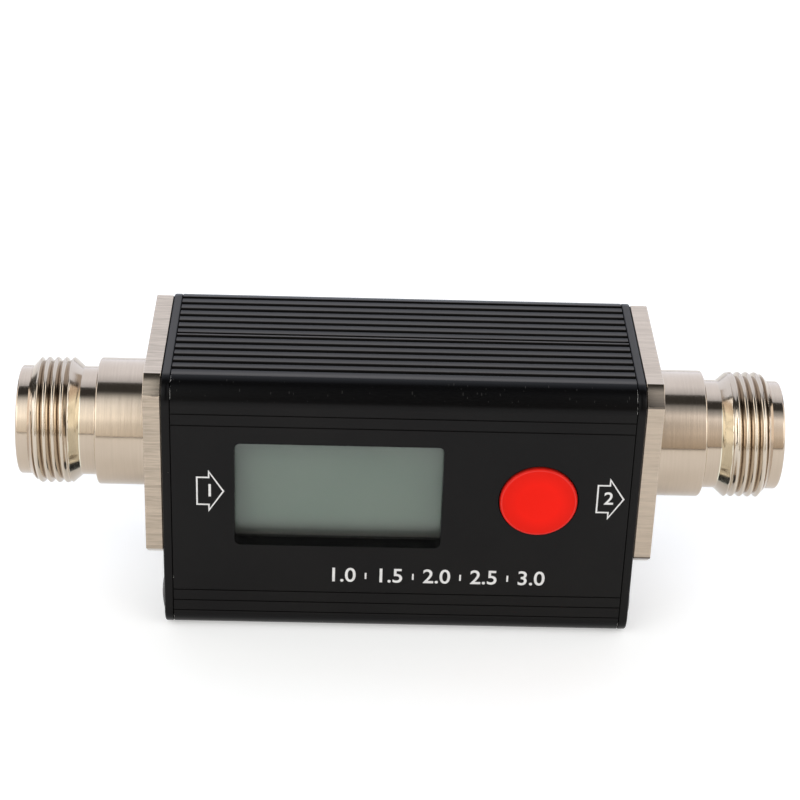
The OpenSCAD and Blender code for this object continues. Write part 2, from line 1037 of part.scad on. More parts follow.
module board_socket() {
    hole = [pin_width + 2 * seat_clearance, pin_width + 2 * seat_clearance, pin_bite + 2 * cut];
    color("#e6e2d4")
        difference() {
            on_face(plug_place, [plug_length, plug_width, socket_height], radio_y - socket_height);
            plug_pin_places()
                on_face(plug_place, hole, radio_y - socket_height - cut);
        }
}

module board_spacers() {
    color(brass)
        spacer_places()
            facing_back(0, board_back_y, 0)
                difference() {
                    cylinder(h = board_gap, r = spacer_radius);
                    translate([0, 0, board_gap - board_screw_bite - cut])
                        cylinder(h = board_screw_bite + 2 * cut, r = board_screw_radius + thread_clearance);
                }
}

module board_screws() {
    color(steel)
        spacer_places()
            facing_back(0, radio_back_y, 0) {
                cylinder(h = board_head_height, r = board_head_radius);
                translate([0, 0, -board_thickness - board_screw_bite])
                    cylinder(h = board_thickness + board_screw_bite, r = board_screw_radius);
            }
}

// Coin cell

module cell_holder() {
    color("#202122")
        facing_back(0, radio_back_y, radio_middle_z)
            difference() {
                cylinder(h = cell_floor + cell_wall_height, r = cell_holder_radius);
                translate([0, 0, cell_floor])
                    cylinder(h = cell_wall_height + cut, r = cell_radius + seat_clearance);
                translate([-cell_notch / 2, -cell_holder_radius - cut, cell_floor])
                    cube([cell_notch, cell_holder_radius, cell_wall_height + cut]);
            }
}

module coin_cell() {
    color(steel)
        facing_back(0, radio_back_y + cell_floor, radio_middle_z) {
            cylinder(h = cell_thickness - cell_step, r = cell_radius);
            cylinder(h = cell_thickness, r = cell_radius - cell_wall);
        }
}

// A strap over the cell, with a leg on each side
module cell_clip() {
    leg_x = cell_holder_radius + 2 * seat_clearance;
    height = cell_floor + cell_thickness;
    strap = [2 * (leg_x + clip_thickness), clip_width, clip_thickness];
    color(steel) {
        on_face([0, radio_middle_z], strap, radio_back_y + height);
        for (side = [-1, 1])
            on_face([side * (leg_x + clip_thickness / 2), radio_middle_z],
                    [clip_thickness, clip_width, height + clip_thickness], radio_back_y);
    }
}

front_shell();
rear_shell();
in_end_plate();
out_end_plate();
in_plate_screws();
out_plate_screws();
in_flange_screws();
out_flange_screws();
in_connector_shell();
out_connector_shell();
in_insulator();
out_insulator();
in_contact();
out_contact();
lcd_window();
front_polarizer();
lcd_front_glass();
lcd_rear_glass();
lcd_reflector();
lcd_holder();
contact_strips();
button_cap();
switch_base();
switch_cover();
switch_plunger();
switch_dome();
switch_terminals();
display_board();
microcontroller();
clock_crystal();
voltage_regulator();
bypass_capacitors();
radio_board();
through_line();
sense_lines();
detector_diodes();
termination_resistors();
board_plug();
board_socket();
board_spacers();
board_screws();
cell_holder();
coin_cell();
cell_clip();
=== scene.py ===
# Looks of the inline SWR meter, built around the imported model.
# Outlines and sizes are in millimetres and become metres when a mesh is made.
import json
import math

import bmesh
import bpy
from mathutils import Matrix, Vector


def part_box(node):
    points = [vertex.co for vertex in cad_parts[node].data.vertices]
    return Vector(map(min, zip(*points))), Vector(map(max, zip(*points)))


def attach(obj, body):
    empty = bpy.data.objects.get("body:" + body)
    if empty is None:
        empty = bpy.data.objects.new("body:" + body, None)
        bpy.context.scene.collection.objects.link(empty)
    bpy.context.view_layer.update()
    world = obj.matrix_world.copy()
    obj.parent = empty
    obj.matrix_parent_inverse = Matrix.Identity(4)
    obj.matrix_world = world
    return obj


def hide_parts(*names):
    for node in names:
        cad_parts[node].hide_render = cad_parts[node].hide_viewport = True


mm = 0.001
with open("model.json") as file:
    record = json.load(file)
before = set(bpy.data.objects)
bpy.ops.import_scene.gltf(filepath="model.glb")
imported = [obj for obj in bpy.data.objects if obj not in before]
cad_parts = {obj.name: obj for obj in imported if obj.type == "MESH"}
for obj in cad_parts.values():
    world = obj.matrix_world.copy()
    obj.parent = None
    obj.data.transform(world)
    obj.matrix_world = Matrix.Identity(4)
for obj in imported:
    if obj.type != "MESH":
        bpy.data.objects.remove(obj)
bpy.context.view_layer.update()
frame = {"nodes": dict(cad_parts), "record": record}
print("frame:", len(frame["nodes"]), "nodes")


def nodeBox(name):
    low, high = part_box(name)
    return low / mm, high / mm


shellLow, shellHigh = nodeBox("front_shell")
plateLow, plateHigh = nodeBox("out_end_plate")
socketLow, socketHigh = nodeBox("out_connector_shell")
capLow, capHigh = nodeBox("button_cap")
lensLow, lensHigh = nodeBox("lcd_window")
boardLow, boardHigh = nodeBox("display_board")

shellHalf = shellHigh.x
caseFront = shellLow.y
caseHeight = shellHigh.z
plateFace = plateHigh.x
axisHeight = (socketLow.z + socketHigh.z) / 2
panelLine = (lensLow.z + lensHigh.z) / 2
buttonMiddle = (capLow.x + capHigh.x) / 2
sides = {"in": -1, "out": 1}
slotOf = {part["node"]: part["material_slot"] for part in frame["record"]["subparts"]}
quarterTurn = math.pi / 2
pastFace = 1  # how far a cutter reaches past the face that it cuts


# Meshes

outlineArcs = {"steps": 5, "largeFrom": 1, "largeSteps": 20}  # arcs of a large radius are finer
sameSpot = 1e-8  # points this near, in metres, become one
squareCorners = ((-1, -1), (1, -1), (1, 1), (-1, 1))


def addPiece(name, data):
    piece = bpy.data.objects.new(name, data)
    bpy.context.scene.collection.objects.link(piece)
    return piece


def faceOutwards(mesh):
    form = bmesh.new()
    form.from_mesh(mesh)
    bmesh.ops.remove_doubles(form, verts=form.verts, dist=sameSpot)
    bmesh.ops.recalc_face_normals(form, faces=form.faces)
    form.to_mesh(mesh)
    form.free()


def makePiece(name, points, faces):
    mesh = bpy.data.meshes.new(name)
    mesh.from_pydata([Vector(point) * mm for point in points], [], [tuple(face) for face in faces])
    faceOutwards(mesh)
    return addPiece(name, mesh)


def skinLoops(name, loops):
    # a closed skin over loops of points, with a face across the first and the last
    count = len(loops[0])
    points = [point for loop in loops for point in loop]
    faces = [range(count), range(len(points) - count, len(points))]
    for start in range(0, len(points) - count, count):
        for i in range(count):
            j = (i + 1) % count
            faces.append((start + i, start + j, start + count + j, start + count + i))
    return makePiece(name, points, faces)


def turnProfile(name, segments, *profiles, closed=False):
    # each profile is a list of (radius, height) about the Z axis; closed joins its end to its start
    points, faces = [], []
    for profile in profiles:
        rings = []
        for radius, height in profile:
            ring = []
            for k in range(segments if radius else 1):
                angle = 2 * math.pi * k / segments
                ring.append(len(points))
                points.append((radius * math.cos(angle), radius * math.sin(angle), height))
            rings.append(ring)
        for near, far in zip(rings, rings[1:] + rings[:1] if closed else rings[1:]):
            for k in range(segments):
                corners = [near[k % len(near)], near[(k + 1) % len(near)],
                           far[(k + 1) % len(far)], far[k % len(far)]]
                faces.append(list(dict.fromkeys(corners)))
    return makePiece(name, points, faces)


def softOutline(corners):
    # corners are (u, v, radius), and each radius above zero becomes an arc
    points = []
    for i, (u, v, radius) in enumerate(corners):
        here = Vector((u, v))
        if not radius:
            points.append(here)
            continue
        back = (Vector(corners[i - 1][:2]) - here).normalized()
        ahead = (Vector(corners[(i + 1) % len(corners)][:2]) - here).normalized()
        half = back.angle(ahead) / 2
        centre = here + (back + ahead).normalized() * radius / math.sin(half)
        start = here + back * radius / math.tan(half) - centre
        end = here + ahead * radius / math.tan(half) - centre
        sweep = math.atan2(start.x * end.y - start.y * end.x, start.dot(end))
        steps = outlineArcs["steps"] if radius < outlineArcs["largeFrom"] else outlineArcs["largeSteps"]
        points += [centre + Matrix.Rotation(sweep * k / steps, 2) @ start for k in range(steps + 1)]
    return points


def roundedRect(width, height, radius):
    return softOutline([(u * width / 2, v * height / 2, radius) for u, v in squareCorners])


def edgeSteps(thickness, bevel, rise=None, steps=3):
    # (inset, height) up a plate with rounded edges, as high as rise where that isn't the bevel
    angles = [k * quarterTurn / steps for k in range(steps + 1)]
    lower = [(bevel * (1 - math.sin(a)), (rise or bevel) * (1 - math.cos(a))) for a in angles]
    return lower + [(inset, thickness - height) for inset, height in reversed(lower)]


def arc(centre, radius, first, last, steps=6):
    angles = [math.radians(first + (last - first) * k / steps) for k in range(steps + 1)]
    return [(centre[0] + radius * math.cos(a), centre[1] + radius * math.sin(a)) for a in angles]


def evaluatedMesh(piece):
    graph = bpy.context.evaluated_depsgraph_get()
    return bpy.data.meshes.new_from_object(piece.evaluated_get(graph))


def bakeModifiers(piece):
    mesh = evaluatedMesh(piece)
    piece.modifiers.clear()
    piece.data = mesh
    return piece


def combine(piece, others, operation="DIFFERENCE"):
    for other in others:
        modifier = piece.modifiers.new("combine", "BOOLEAN")
        modifier.object = other
        modifier.operation = operation
        modifier.solver = "MANIFOLD"
    bakeModifiers(piece)
    for other in others:
        bpy.data.objects.remove(other)
    return piece


def smoothPiece(piece, angle=32):
    faceOutwards(piece.data)
    piece.data.shade_smooth()
    piece.data.set_sharp_from_angle(angle=math.radians(angle))
    modifier = piece.modifiers.new("evenNormals", "WEIGHTED_NORMAL")
    modifier.keep_sharp = True
    return bakeModifiers(piece)


def movePiece(piece, spot, angle=0.0, axis="Z"):
    # turns a piece about the origin, then moves it
    piece.data.transform(Matrix.Translation(Vector(spot) * mm) @ Matrix.Rotation(angle, 4, axis))
    return piece


def copyPiece(piece, name, move):
    mesh = piece.data.copy()
    mesh.transform(move)
    return addPiece(name, mesh)


def joinPieces(name, pieces):
    form = bmesh.new()
    for piece in pieces:
        form.from_mesh(piece.data)
        bpy.data.objects.remove(piece)
    mesh = bpy.data.meshes.new(name)
    form.to_mesh(mesh)
    form.free()
    return addPiece(name, mesh)


def cover(piece, material, body="case"):
    piece.data.materials.clear()
    piece.data.materials.append(material)
    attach(piece, body)


def standFor(piece, node, body="case"):
    # the piece takes a CAD node's place and the finish of its slot, and the node is hidden
    cover(piece, finishes[slotOf[node]], body)
    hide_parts(node)


def setOnEnds(blank, suffix, node):
    # copies of a piece made along Z, one outside each end plate on the sockets' axis
    for end, side in sides.items():
        turn = Matrix.Rotation(side * quarterTurn, 4, "Y")
        outwards = Matrix.Translation(Vector((side * plateFace, 0, axisHeight)) * mm) @ turn
        standFor(copyPiece(blank, end + suffix, outwards), end + "_" + node)
    bpy.data.objects.remove(blank)


# Node trees

socketKinds = {"geometry": "NodeSocketGeometry", "float": "NodeSocketFloat", "int": "NodeSocketInt",
               "vector": "NodeSocketVector", "material": "NodeSocketMaterial", "colour": "NodeSocketColor"}


class Field:
    # what a node puts out, so that sums and comparisons can be written the usual way
    def __init__(self, tree, source):
        self.tree = tree
        self.source = source

    def __add__(self, other):
        return calc(self.tree, "ADD", self, other)

    def __sub__(self, other):
        return calc(self.tree, "SUBTRACT", self, other)

    def __rsub__(self, other):
        return calc(self.tree, "SUBTRACT", other, self)

    def __mul__(self, other):
        return calc(self.tree, "MULTIPLY", self, other)

    def __truediv__(self, other):
        return calc(self.tree, "DIVIDE", self, other)

    def __abs__(self):
        return calc(self.tree, "ABSOLUTE", self)

    def __gt__(self, other):
        return calc(self.tree, "GREATER_THAN", self, other)

    def __lt__(self, other):
        return calc(self.tree, "LESS_THAN", self, other)

    def ramp(self, low, high, bottom=0.0, top=1.0):
        return place(self.tree, "ShaderNodeMapRange", {
            "Value": self, "From Min": low, "From Max": high, "To Min": bottom, "To Max": top})


def addNode(tree, kind, **settings):
    node = tree.nodes.new(kind)
    for name, value in settings.items():
        setattr(node, name, value)
    return node


def feed(tree, value, target):
    if isinstance(value, Field):
        tree.links.new(value.source, target)
    elif target.type == "RGBA":
        target.default_value = (*value, 1)
    else:
        target.default_value = value


def place(tree, kind, inputs, **settings):
    node = addNode(tree, kind, **settings)
    for name, value in inputs.items():
        feed(tree, value, node.inputs[name])
    return Field(tree, node.outputs[0])


def calc(tree, operation, *values):
    node = addNode(tree, "ShaderNodeMath", operation=operation)
    for value, target in zip(values, node.inputs):
        feed(tree, value, target)
    return Field(tree, node.outputs[0])


def vector(tree, x, y, z):
    return place(tree, "ShaderNodeCombineXYZ", {"X": x, "Y": y, "Z": z})


def split(field, kind="ShaderNodeSeparateXYZ"):
    node = addNode(field.tree, kind)
    feed(field.tree, field, node.inputs[0])
    return [Field(field.tree, source) for source in node.outputs]


def newTree(name, kind, leaving, **entering):
    # leaving is the kind and label of the output, and entering gives the labels of each kind of input
    tree = bpy.data.node_groups.new(name, kind)
    for sort, labels in entering.items():
        for label in labels:
            tree.interface.new_socket(label, in_out="INPUT", socket_type=socketKinds[sort])
    sort, label = leaving
    tree.interface.new_socket(label, in_out="OUTPUT", socket_type=socketKinds[sort])
    given = {source.name: Field(tree, source) for source in addNode(tree, "NodeGroupInput").outputs}
    return tree, given, addNode(tree, "NodeGroupOutput").inputs[0]


def newGeometryTree(name, **entering):
    return newTree(name, "GeometryNodeTree", ("geometry", "Geometry"), geometry=["Geometry"],
                   material=["Material"], **entering)


def closeTree(tree, geometry, material, leave):
    real = place(tree, "GeometryNodeRealizeInstances", {"Geometry": geometry})
    feed(tree, place(tree, "GeometryNodeSetMaterial", {"Geometry": real, "Material": material}), leave)
    return tree


def runTree(piece, tree, finish, lengths, numbers):
    # lengths are in millimetres, each one number or a tuple of three
    values = {name: Vector(size) * mm if isinstance(size, tuple) else size * mm
              for name, size in lengths.items()}
    values.update(numbers, Material=finish)
    modifier = piece.modifiers.new(tree.name, "NODES")
    modifier.node_group = tree
    for item in tree.interface.items_tree:
        if item.in_out == "INPUT" and item.name in values:
            modifier[item.identifier] = values[item.name]
    return bakeModifiers(piece)


def joinParts(tree, *parts):
    node = addNode(tree, "GeometryNodeJoinGeometry")
    for part in parts:
        feed(tree, part, node.inputs[0])
    return Field(tree, node.outputs[0])


def boolean(tree, operation, first, *others):
    node = addNode(tree, "GeometryNodeMeshBoolean", operation=operation, solver="MANIFOLD")
    feed(tree, first, node.inputs["Mesh 1" if operation == "DIFFERENCE" else "Mesh 2"])
    for other in others:
        feed(tree, other, node.inputs["Mesh 2"])
    return Field(tree, node.outputs[0])


def rowOf(tree, part, count, first, step):
    points = place(tree, "GeometryNodeMeshLine", {"Count": count, "Start Location": first, "Offset": step})
    return place(tree, "GeometryNodeInstanceOnPoints", {"Points": points, "Instance": part})


ribMesh = {"crestSteps": 6}
threadMesh = {"weldReach": 1e-6}  # in metres
screwMesh = {"headSides": 64, "crownRings": 120, "shankSides": 48, "shankStart": 0.9}


def buildRibTree():
    # rounded bars along X, side by side, united with the shell that they stand on
    tree, given, leave = newGeometryTree(
        "ribTree", int=["Rib count"], vector=["First rib", "Rib step"],
        float=["Rib width", "Rib height", "Rib length", "Crest radius"])
    outline = place(tree, "GeometryNodeCurvePrimitiveQuadrilateral",
                    {"Width": given["Rib width"], "Height": given["Rib height"]})
    rounded = place(tree, "GeometryNodeFilletCurve", {
        "Curve": outline, "Count": ribMesh["crestSteps"], "Radius": given["Crest radius"]}, mode="POLY")
    half = given["Rib length"] * 0.5
    path = place(tree, "GeometryNodeCurvePrimitiveLine",
                 {"Start": vector(tree, 0, 0, half * -1), "End": vector(tree, 0, 0, half)})
    bar = place(tree, "GeometryNodeCurveToMesh", {"Curve": path, "Profile Curve": rounded, "Fill Caps": True})
    lying = place(tree, "GeometryNodeTransform", {"Geometry": bar, "Rotation": (quarterTurn, 0, quarterTurn)})
    row = rowOf(tree, lying, given["Rib count"], given["First rib"], given["Rib step"])
    ribs = place(tree, "GeometryNodeRealizeInstances", {"Geometry": row})
    return closeTree(tree, boolean(tree, "UNION", given["Geometry"], ribs), given["Material"], leave)


def buildThreadTree():
    # a helical thread on the gap of a turned blank: one strip, a pitch wide, wound along the Z axis
    tree, given, leave = newGeometryTree(
        "threadTree", int=["Turns", "Segments", "Strip steps"],
        float=["Start", "Pitch", "Phase", "Crest radius", "Thread depth", "Crest rounding", "Run-out start",
               "Run-out end", "Blank radius", "Inner slope", "Outer slope"])
    windings = given["Turns"] + 1
    grid = place(tree, "GeometryNodeMeshGrid", {
        "Size X": windings, "Size Y": 1.0, "Vertices X": windings * given["Segments"] + 1,
        "Vertices Y": given["Strip steps"] + 1})
    across, up, _ = split(place(tree, "GeometryNodeInputPosition", {}))
    turn = windings * 0.5 + across - 1
    share = up + 0.5
    length = given["Turns"] * given["Pitch"]
    along = (turn + share) * given["Pitch"]
    height = calc(tree, "MAXIMUM", calc(tree, "MINIMUM", along, length), 0)
    # straight flanks with round crests between, which run out towards the inner end
    small = given["Crest rounding"]

    def pastRounding(value):
        return calc(tree, "SQRT", small * small + value * value) - small

    fall = pastRounding(share * 2 - 1) / pastRounding(1.0)
    cut = given["Thread depth"] * height.ramp(given["Run-out start"], given["Run-out end"])
    radius = given["Crest radius"] - cut * fall
    inner = height * given["Inner slope"] + given["Blank radius"]
    outer = (length - height) * given["Outer slope"] + given["Blank radius"]
    limited = calc(tree, "MINIMUM", calc(tree, "MINIMUM", radius, inner), outer)
    final = calc(tree, "MAXIMUM", limited, given["Blank radius"])
    angle = (turn + given["Phase"]) * (2 * math.pi)
    position = vector(tree, final * calc(tree, "COSINE", angle), final * calc(tree, "SINE", angle),
                      height + given["Start"])
    wound = place(tree, "GeometryNodeSetPosition", {"Geometry": grid, "Position": position})
    merged = place(tree, "GeometryNodeMergeByDistance", {
        "Geometry": joinParts(tree, given["Geometry"], wound), "Distance": threadMesh["weldReach"]})
    return closeTree(tree, merged, given["Material"], leave)


def buildScrewTree():
    # one cross-recessed screw on each point, its head's top at the point, each turned by chance
    tree, given, leave = newGeometryTree(
        "screwTree", vector=["Facing"], int=["Seed"],
        float=["Head radius", "Under radius", "Head height", "Crown radius", "Shank radius", "Whole length",
               "Recess length", "Recess width", "Recess depth"])

    def lowered(geometry, drop):
        down = vector(tree, 0, 0, drop * -1)
        return place(tree, "GeometryNodeTransform", {"Geometry": geometry, "Translation": down})

    cone = place(tree, "GeometryNodeMeshCone", {
        "Vertices": screwMesh["headSides"], "Radius Top": given["Head radius"],
        "Radius Bottom": given["Under radius"], "Depth": given["Head height"]})
    ball = place(tree, "GeometryNodeMeshUVSphere", {
        "Segments": screwMesh["headSides"], "Rings": screwMesh["crownRings"],
        "Radius": given["Crown radius"]})
    head = boolean(tree, "INTERSECT", lowered(cone, given["Head height"]),
                   lowered(ball, given["Crown radius"]))
    # the shank starts a little inside the head
    shankTop = given["Head height"] * screwMesh["shankStart"]
    shank = place(tree, "GeometryNodeMeshCylinder", {
        "Vertices": screwMesh["shankSides"], "Radius": given["Shank radius"],
        "Depth": given["Whole length"] - shankTop})
    solid = boolean(tree, "UNION", head, lowered(shank, (given["Whole length"] + shankTop) * 0.5))
    tall = given["Recess depth"] * 2
    long, narrow = given["Recess length"], given["Recess width"]
    bars = [place(tree, "GeometryNodeMeshCube", {"Size": vector(tree, x, y, tall)})
            for x, y in ((long, narrow), (narrow, long))]
    screw = boolean(tree, "DIFFERENCE", solid, *bars)
    spread = place(tree, "GeometryNodeInstanceOnPoints", {
        "Points": given["Geometry"], "Instance": screw, "Rotation": given["Facing"]})
    chance = addNode(tree, "FunctionNodeRandomValue", data_type="FLOAT")
    feed(tree, given["Seed"], chance.inputs["Seed"])
    roll = Field(tree, chance.outputs[1]) * quarterTurn
    turned = place(tree, "GeometryNodeRotateInstances", {
        "Instances": spread, "Rotation": vector(tree, 0, 0, roll), "Local Space": True})
    return closeTree(tree, turned, given["Material"], leave)


def buildTickTree():
    # a row of short bars
    tree, given, leave = newGeometryTree(
        "tickTree", int=["Tick count"], vector=["First tick", "Tick step", "Tick size"])
    bar = place(tree, "GeometryNodeMeshCube", {"Size": given["Tick size"]})
    ticks = rowOf(tree, bar, given["Tick count"], given["First tick"], given["Tick step"])
    return closeTree(tree, joinParts(tree, given["Geometry"], ticks), given["Material"], leave)


ribTree = buildRibTree()
threadTree = buildThreadTree()
screwTree = buildScrewTree()
tickTree = buildTickTree()
print("geometry trees: ribs, thread, screws, ticks")


# Shader groups

mixSockets = {"RGBA": (6, 7, 2), "FLOAT": (2, 3, 0)}  # where the two values go in and the mix comes out


def noise(tree, where, scale, detail, roughness=0.55):
    return place(tree, "ShaderNodeTexNoise",
                 {"Vector": where, "Scale": scale, "Detail": detail, "Roughness": roughness})


def mix(tree, kind, mask, first, second):
    node = addNode(tree, "ShaderNodeMix", data_type=kind)
    before, after, result = mixSockets[kind]
    for index, value in ((0, mask), (before, first), (after, second)):
        feed(tree, value, node.inputs[index])
    return Field(tree, node.outputs[result])


def stretched(where, stretch):
    node = addNode(where.tree, "ShaderNodeVectorMath", operation="MULTIPLY")
    feed(where.tree, where, node.inputs[0])
    feed(where.tree, stretch, node.inputs[1])
    return Field(where.tree, node.outputs[0])


def buildMottle():
    # slow change between two tones
    cloud = {"detail": 4.0, "low": 0.35, "high": 0.65}
    tree, given, leave = newTree("toneMottle", "ShaderNodeTree", ("colour", "Colour"), vector=["Vector"],
                                 float=["Scale"], colour=["First", "Second"])
    share = noise(tree, given["Vector"], given["Scale"], cloud["detail"]).ramp(cloud["low"], cloud["high"])
    feed(tree, mix(tree, "RGBA", share, given["First"], given["Second"]), leave)
    return tree


def buildGrain():
    # fine texture, drawn out into lines along the directions with a small stretch
    lines = {"detail": 2.0, "fineScale": 3.7, "fineShare": 0.4}
    tree, given, leave = newTree("fineGrain", "ShaderNodeTree", ("float", "Height"),
                                 vector=["Vector", "Stretch"], float=["Scale"])
    where = stretched(given["Vector"], given["Stretch"])
    coarse = noise(tree, where, given["Scale"], lines["detail"])
    fine = noise(tree, where, given["Scale"] * lines["fineScale"], lines["detail"])
    feed(tree, mix(tree, "FLOAT", lines["fineShare"], coarse, fine), leave)
    return tree


def buildDust():
    # a few small round specks
    tree, given, leave = newTree("dustSpecks", "ShaderNodeTree", ("float", "Mask"), vector=["Vector"],
                                 float=["Scale", "Size", "Share"])
    cells = addNode(tree, "ShaderNodeTexVoronoi")
    for name in ("Vector", "Scale"):
        feed(tree, given[name], cells.inputs[name])
    red, green, _ = split(Field(tree, cells.outputs["Color"]), "ShaderNodeSeparateColor")
    speck = Field(tree, cells.outputs["Distance"]) < given["Size"] * green
    feed(tree, speck * (red < given["Share"]), leave)
    return tree


def buildWear():
    # chips along an edge, given each point's distance from it
    chips = {"detail": 5.0, "roughness": 0.7, "low": 0.45, "high": 0.75, "patchScale": 0.12,
             "patchDetail": 1.0}
    tree, given, leave = newTree("edgeWear", "ShaderNodeTree", ("float", "Mask"), vector=["Vector"],
                                 float=["Distance", "Reach", "Scale", "Share"])
    ragged = noise(tree, given["Vector"], given["Scale"], chips["detail"], chips["roughness"])
    near = given["Distance"] < given["Reach"] * ragged.ramp(chips["low"], chips["high"])
    patches = noise(tree, given["Vector"], given["Scale"] * chips["patchScale"], chips["patchDetail"])
    feed(tree, near * (patches > 1 - given["Share"]), leave)
    return tree


mottle = buildMottle()
grain = buildGrain()
dust = buildDust()
wear = buildWear()


def useGroup(tree, group, **values):
    node = addNode(tree, "ShaderNodeGroup", node_tree=group)
    for name, value in values.items():
        feed(tree, value, node.inputs[name])
    return Field(tree, node.outputs[0])


# Finishes: two tones, how large their patches are per metre, gloss, and the fine texture in it

finishLook = {"grainLow": 0.3, "grainHigh": 0.7, "speckRoughness": 0.8}


def shaderOf(material):
    return material.node_tree.nodes["Principled BSDF"]


def objectSpot(tree):
    return Field(tree, addNode(tree, "ShaderNodeTexCoord").outputs["Object"])


def objectAxes(tree):
    # the three object coordinates in millimetres
    return split(stretched(objectSpot(tree), (1 / mm, 1 / mm, 1 / mm)))


def makeFinish(name, first, second, patches=120, roughness=0.5, spread=0.1, texture=2500, stretch=(1, 1, 1),
               depth=0.004, strength=0.3, specks=None, **fixed):
    material = bpy.data.materials.new(name)
    material.use_nodes = True
    tree, shader = material.node_tree, shaderOf(material)
    where = objectSpot(tree)
    colour = useGroup(tree, mottle, Vector=where, Scale=patches, First=first, Second=second)
    height = useGroup(tree, grain, Vector=where, Scale=texture, Stretch=stretch)
    rough = height.ramp(finishLook["grainLow"], finishLook["grainHigh"], roughness - spread,
                        roughness + spread)
    if specks:
        mask = useGroup(tree, dust, Vector=where, Scale=specks["perMetre"], Size=specks["size"],
                        Share=specks["share"])
        colour = mix(tree, "RGBA", mask, colour, specks["colour"])
        rough = mix(tree, "FLOAT", mask, rough, finishLook["speckRoughness"])
    feed(tree, colour, shader.inputs["Base Color"])
    feed(tree, rough, shader.inputs["Roughness"])
    bump = place(tree, "ShaderNodeBump", {"Strength": strength, "Distance": depth * mm, "Height": height})
    feed(tree, bump, shader.inputs["Normal"])
    for label, value in fixed.items():
        shader.inputs[label.replace("_", " ")].default_value = value
    return material


def overlay(material, mask, **changes):
    # lets a mask change what feeds the shader
    tree = material.node_tree
    for name, value in changes.items():
        target = shaderOf(material).inputs[name.replace("_", " ")]
        before = Field(tree, target.links[0].from_socket)
        kind = "RGBA" if target.type == "RGBA" else "FLOAT"
        feed(tree, mix(tree, kind, mask, before, value), target)


finishes = {
    "black_screw": makeFinish("blackScrew", (0.012, 0.012, 0.013), (0.02, 0.019, 0.018), roughness=0.4,
                              texture=4000, Specular_IOR_Level=0.4),
    "insulator": makeFinish("whiteInsulator", (0.74, 0.72, 0.66), (0.8, 0.78, 0.73), roughness=0.42,
                            texture=2600, Subsurface_Weight=0.15, Subsurface_Scale=0.0008),
    "gold_contact": makeFinish("goldContact", (0.83, 0.58, 0.22), (0.88, 0.64, 0.28), roughness=0.24,
                               texture=5000, stretch=(1, 0.05, 0.05), Metallic=1.0),
    "reflector": makeFinish("reflectorFilm", (0.2, 0.25, 0.21), (0.26, 0.3, 0.26), roughness=0.4,
                            texture=6000, Metallic=0.4),
    "white_plastic": makeFinish("whitePlastic", (0.7, 0.69, 0.65), (0.76, 0.75, 0.71), roughness=0.48),
    "contact_rubber": makeFinish("contactRubber", (0.62, 0.27, 0.3), (0.7, 0.34, 0.36), roughness=0.7,
                                 texture=3000, stretch=(1, 0.1, 0.1)),
    "black_plastic": makeFinish("blackPlastic", (0.016, 0.016, 0.017), (0.024, 0.024, 0.025), roughness=0.5),
    "bare_steel": makeFinish("bareSteel", (0.55, 0.56, 0.58), (0.62, 0.62, 0.63), roughness=0.3,
                             texture=3500, stretch=(1, 0.1, 1), Metallic=1.0),
    "board": makeFinish("greenBoard", (0.012, 0.11, 0.045), (0.018, 0.15, 0.06), patches=300, roughness=0.36,
                        texture=1400, stretch=(1, 1, 0.2)),
    "copper": makeFinish("copperLine", (0.62, 0.3, 0.15), (0.7, 0.36, 0.2), roughness=0.35, Metallic=1.0),
    "chip": makeFinish("chipPackage", (0.018, 0.018, 0.02), (0.028, 0.028, 0.03), roughness=0.55,
                       texture=6000),
    "ceramic": makeFinish("tanCeramic", (0.42, 0.29, 0.15), (0.5, 0.36, 0.2), roughness=0.5),
    "brass": makeFinish("turnedBrass", (0.66, 0.48, 0.19), (0.74, 0.55, 0.24), roughness=0.28,
                        texture=4500, stretch=(0.05, 1, 0.05), Metallic=1.0),
}


# Shells

shell = {
    "wall": 2, "cornerRadius": 3.0, "edgeRadius": 0.06, "drillSides": 48,
    "jointOffset": 0.26, "jointGap": 0.2, "jointDepth": 0.4, "jointRadius": 0.06,
    "lapWidth": 1, "lapThickness": 0.9,
    "grooveCount": 6, "groovePitch": 1.64, "grooveWidth": 0.6, "grooveDepth": 0.5, "nearGroove": 0.86,
    "farGroove": 1.41, "crestRadius": 0.13, "landRadius": 0.13, "ribRoot": 0.4,
    "linePitch": 1.55, "lineWidth": 0.16, "lineDepth": 0.14, "lineRadius": 0.03,
    "lowLine": 3.05, "lowLines": 3, "highLine": 4, "highLines": 2,
    "railWidth": 0.95, "railHeight": 1.2, "railGap": 0.05, "bossRadius": 2.3, "bossSteps": 20,
    "channelRadius": 1.55, "screwSpacing": 18.26, "windowMargin": 1, "windowRadius": 0.7,
    "buttonRim": 0.8, "buttonGap": 0.1, "buttonSides": 128,
}
screwY = shell["screwSpacing"] / 2
upperScrewZ = axisHeight + screwY
middleScrewZ = axisHeight - screwY
lowerScrewZ = caseHeight - upperScrewZ
topGroove = shell["jointOffset"] - shell["nearGroove"]
lowGroove = -shell["jointOffset"] - shell["farGroove"]
buttonRadius = (capHigh.x - capLow.x) / 2 - shell["buttonRim"]


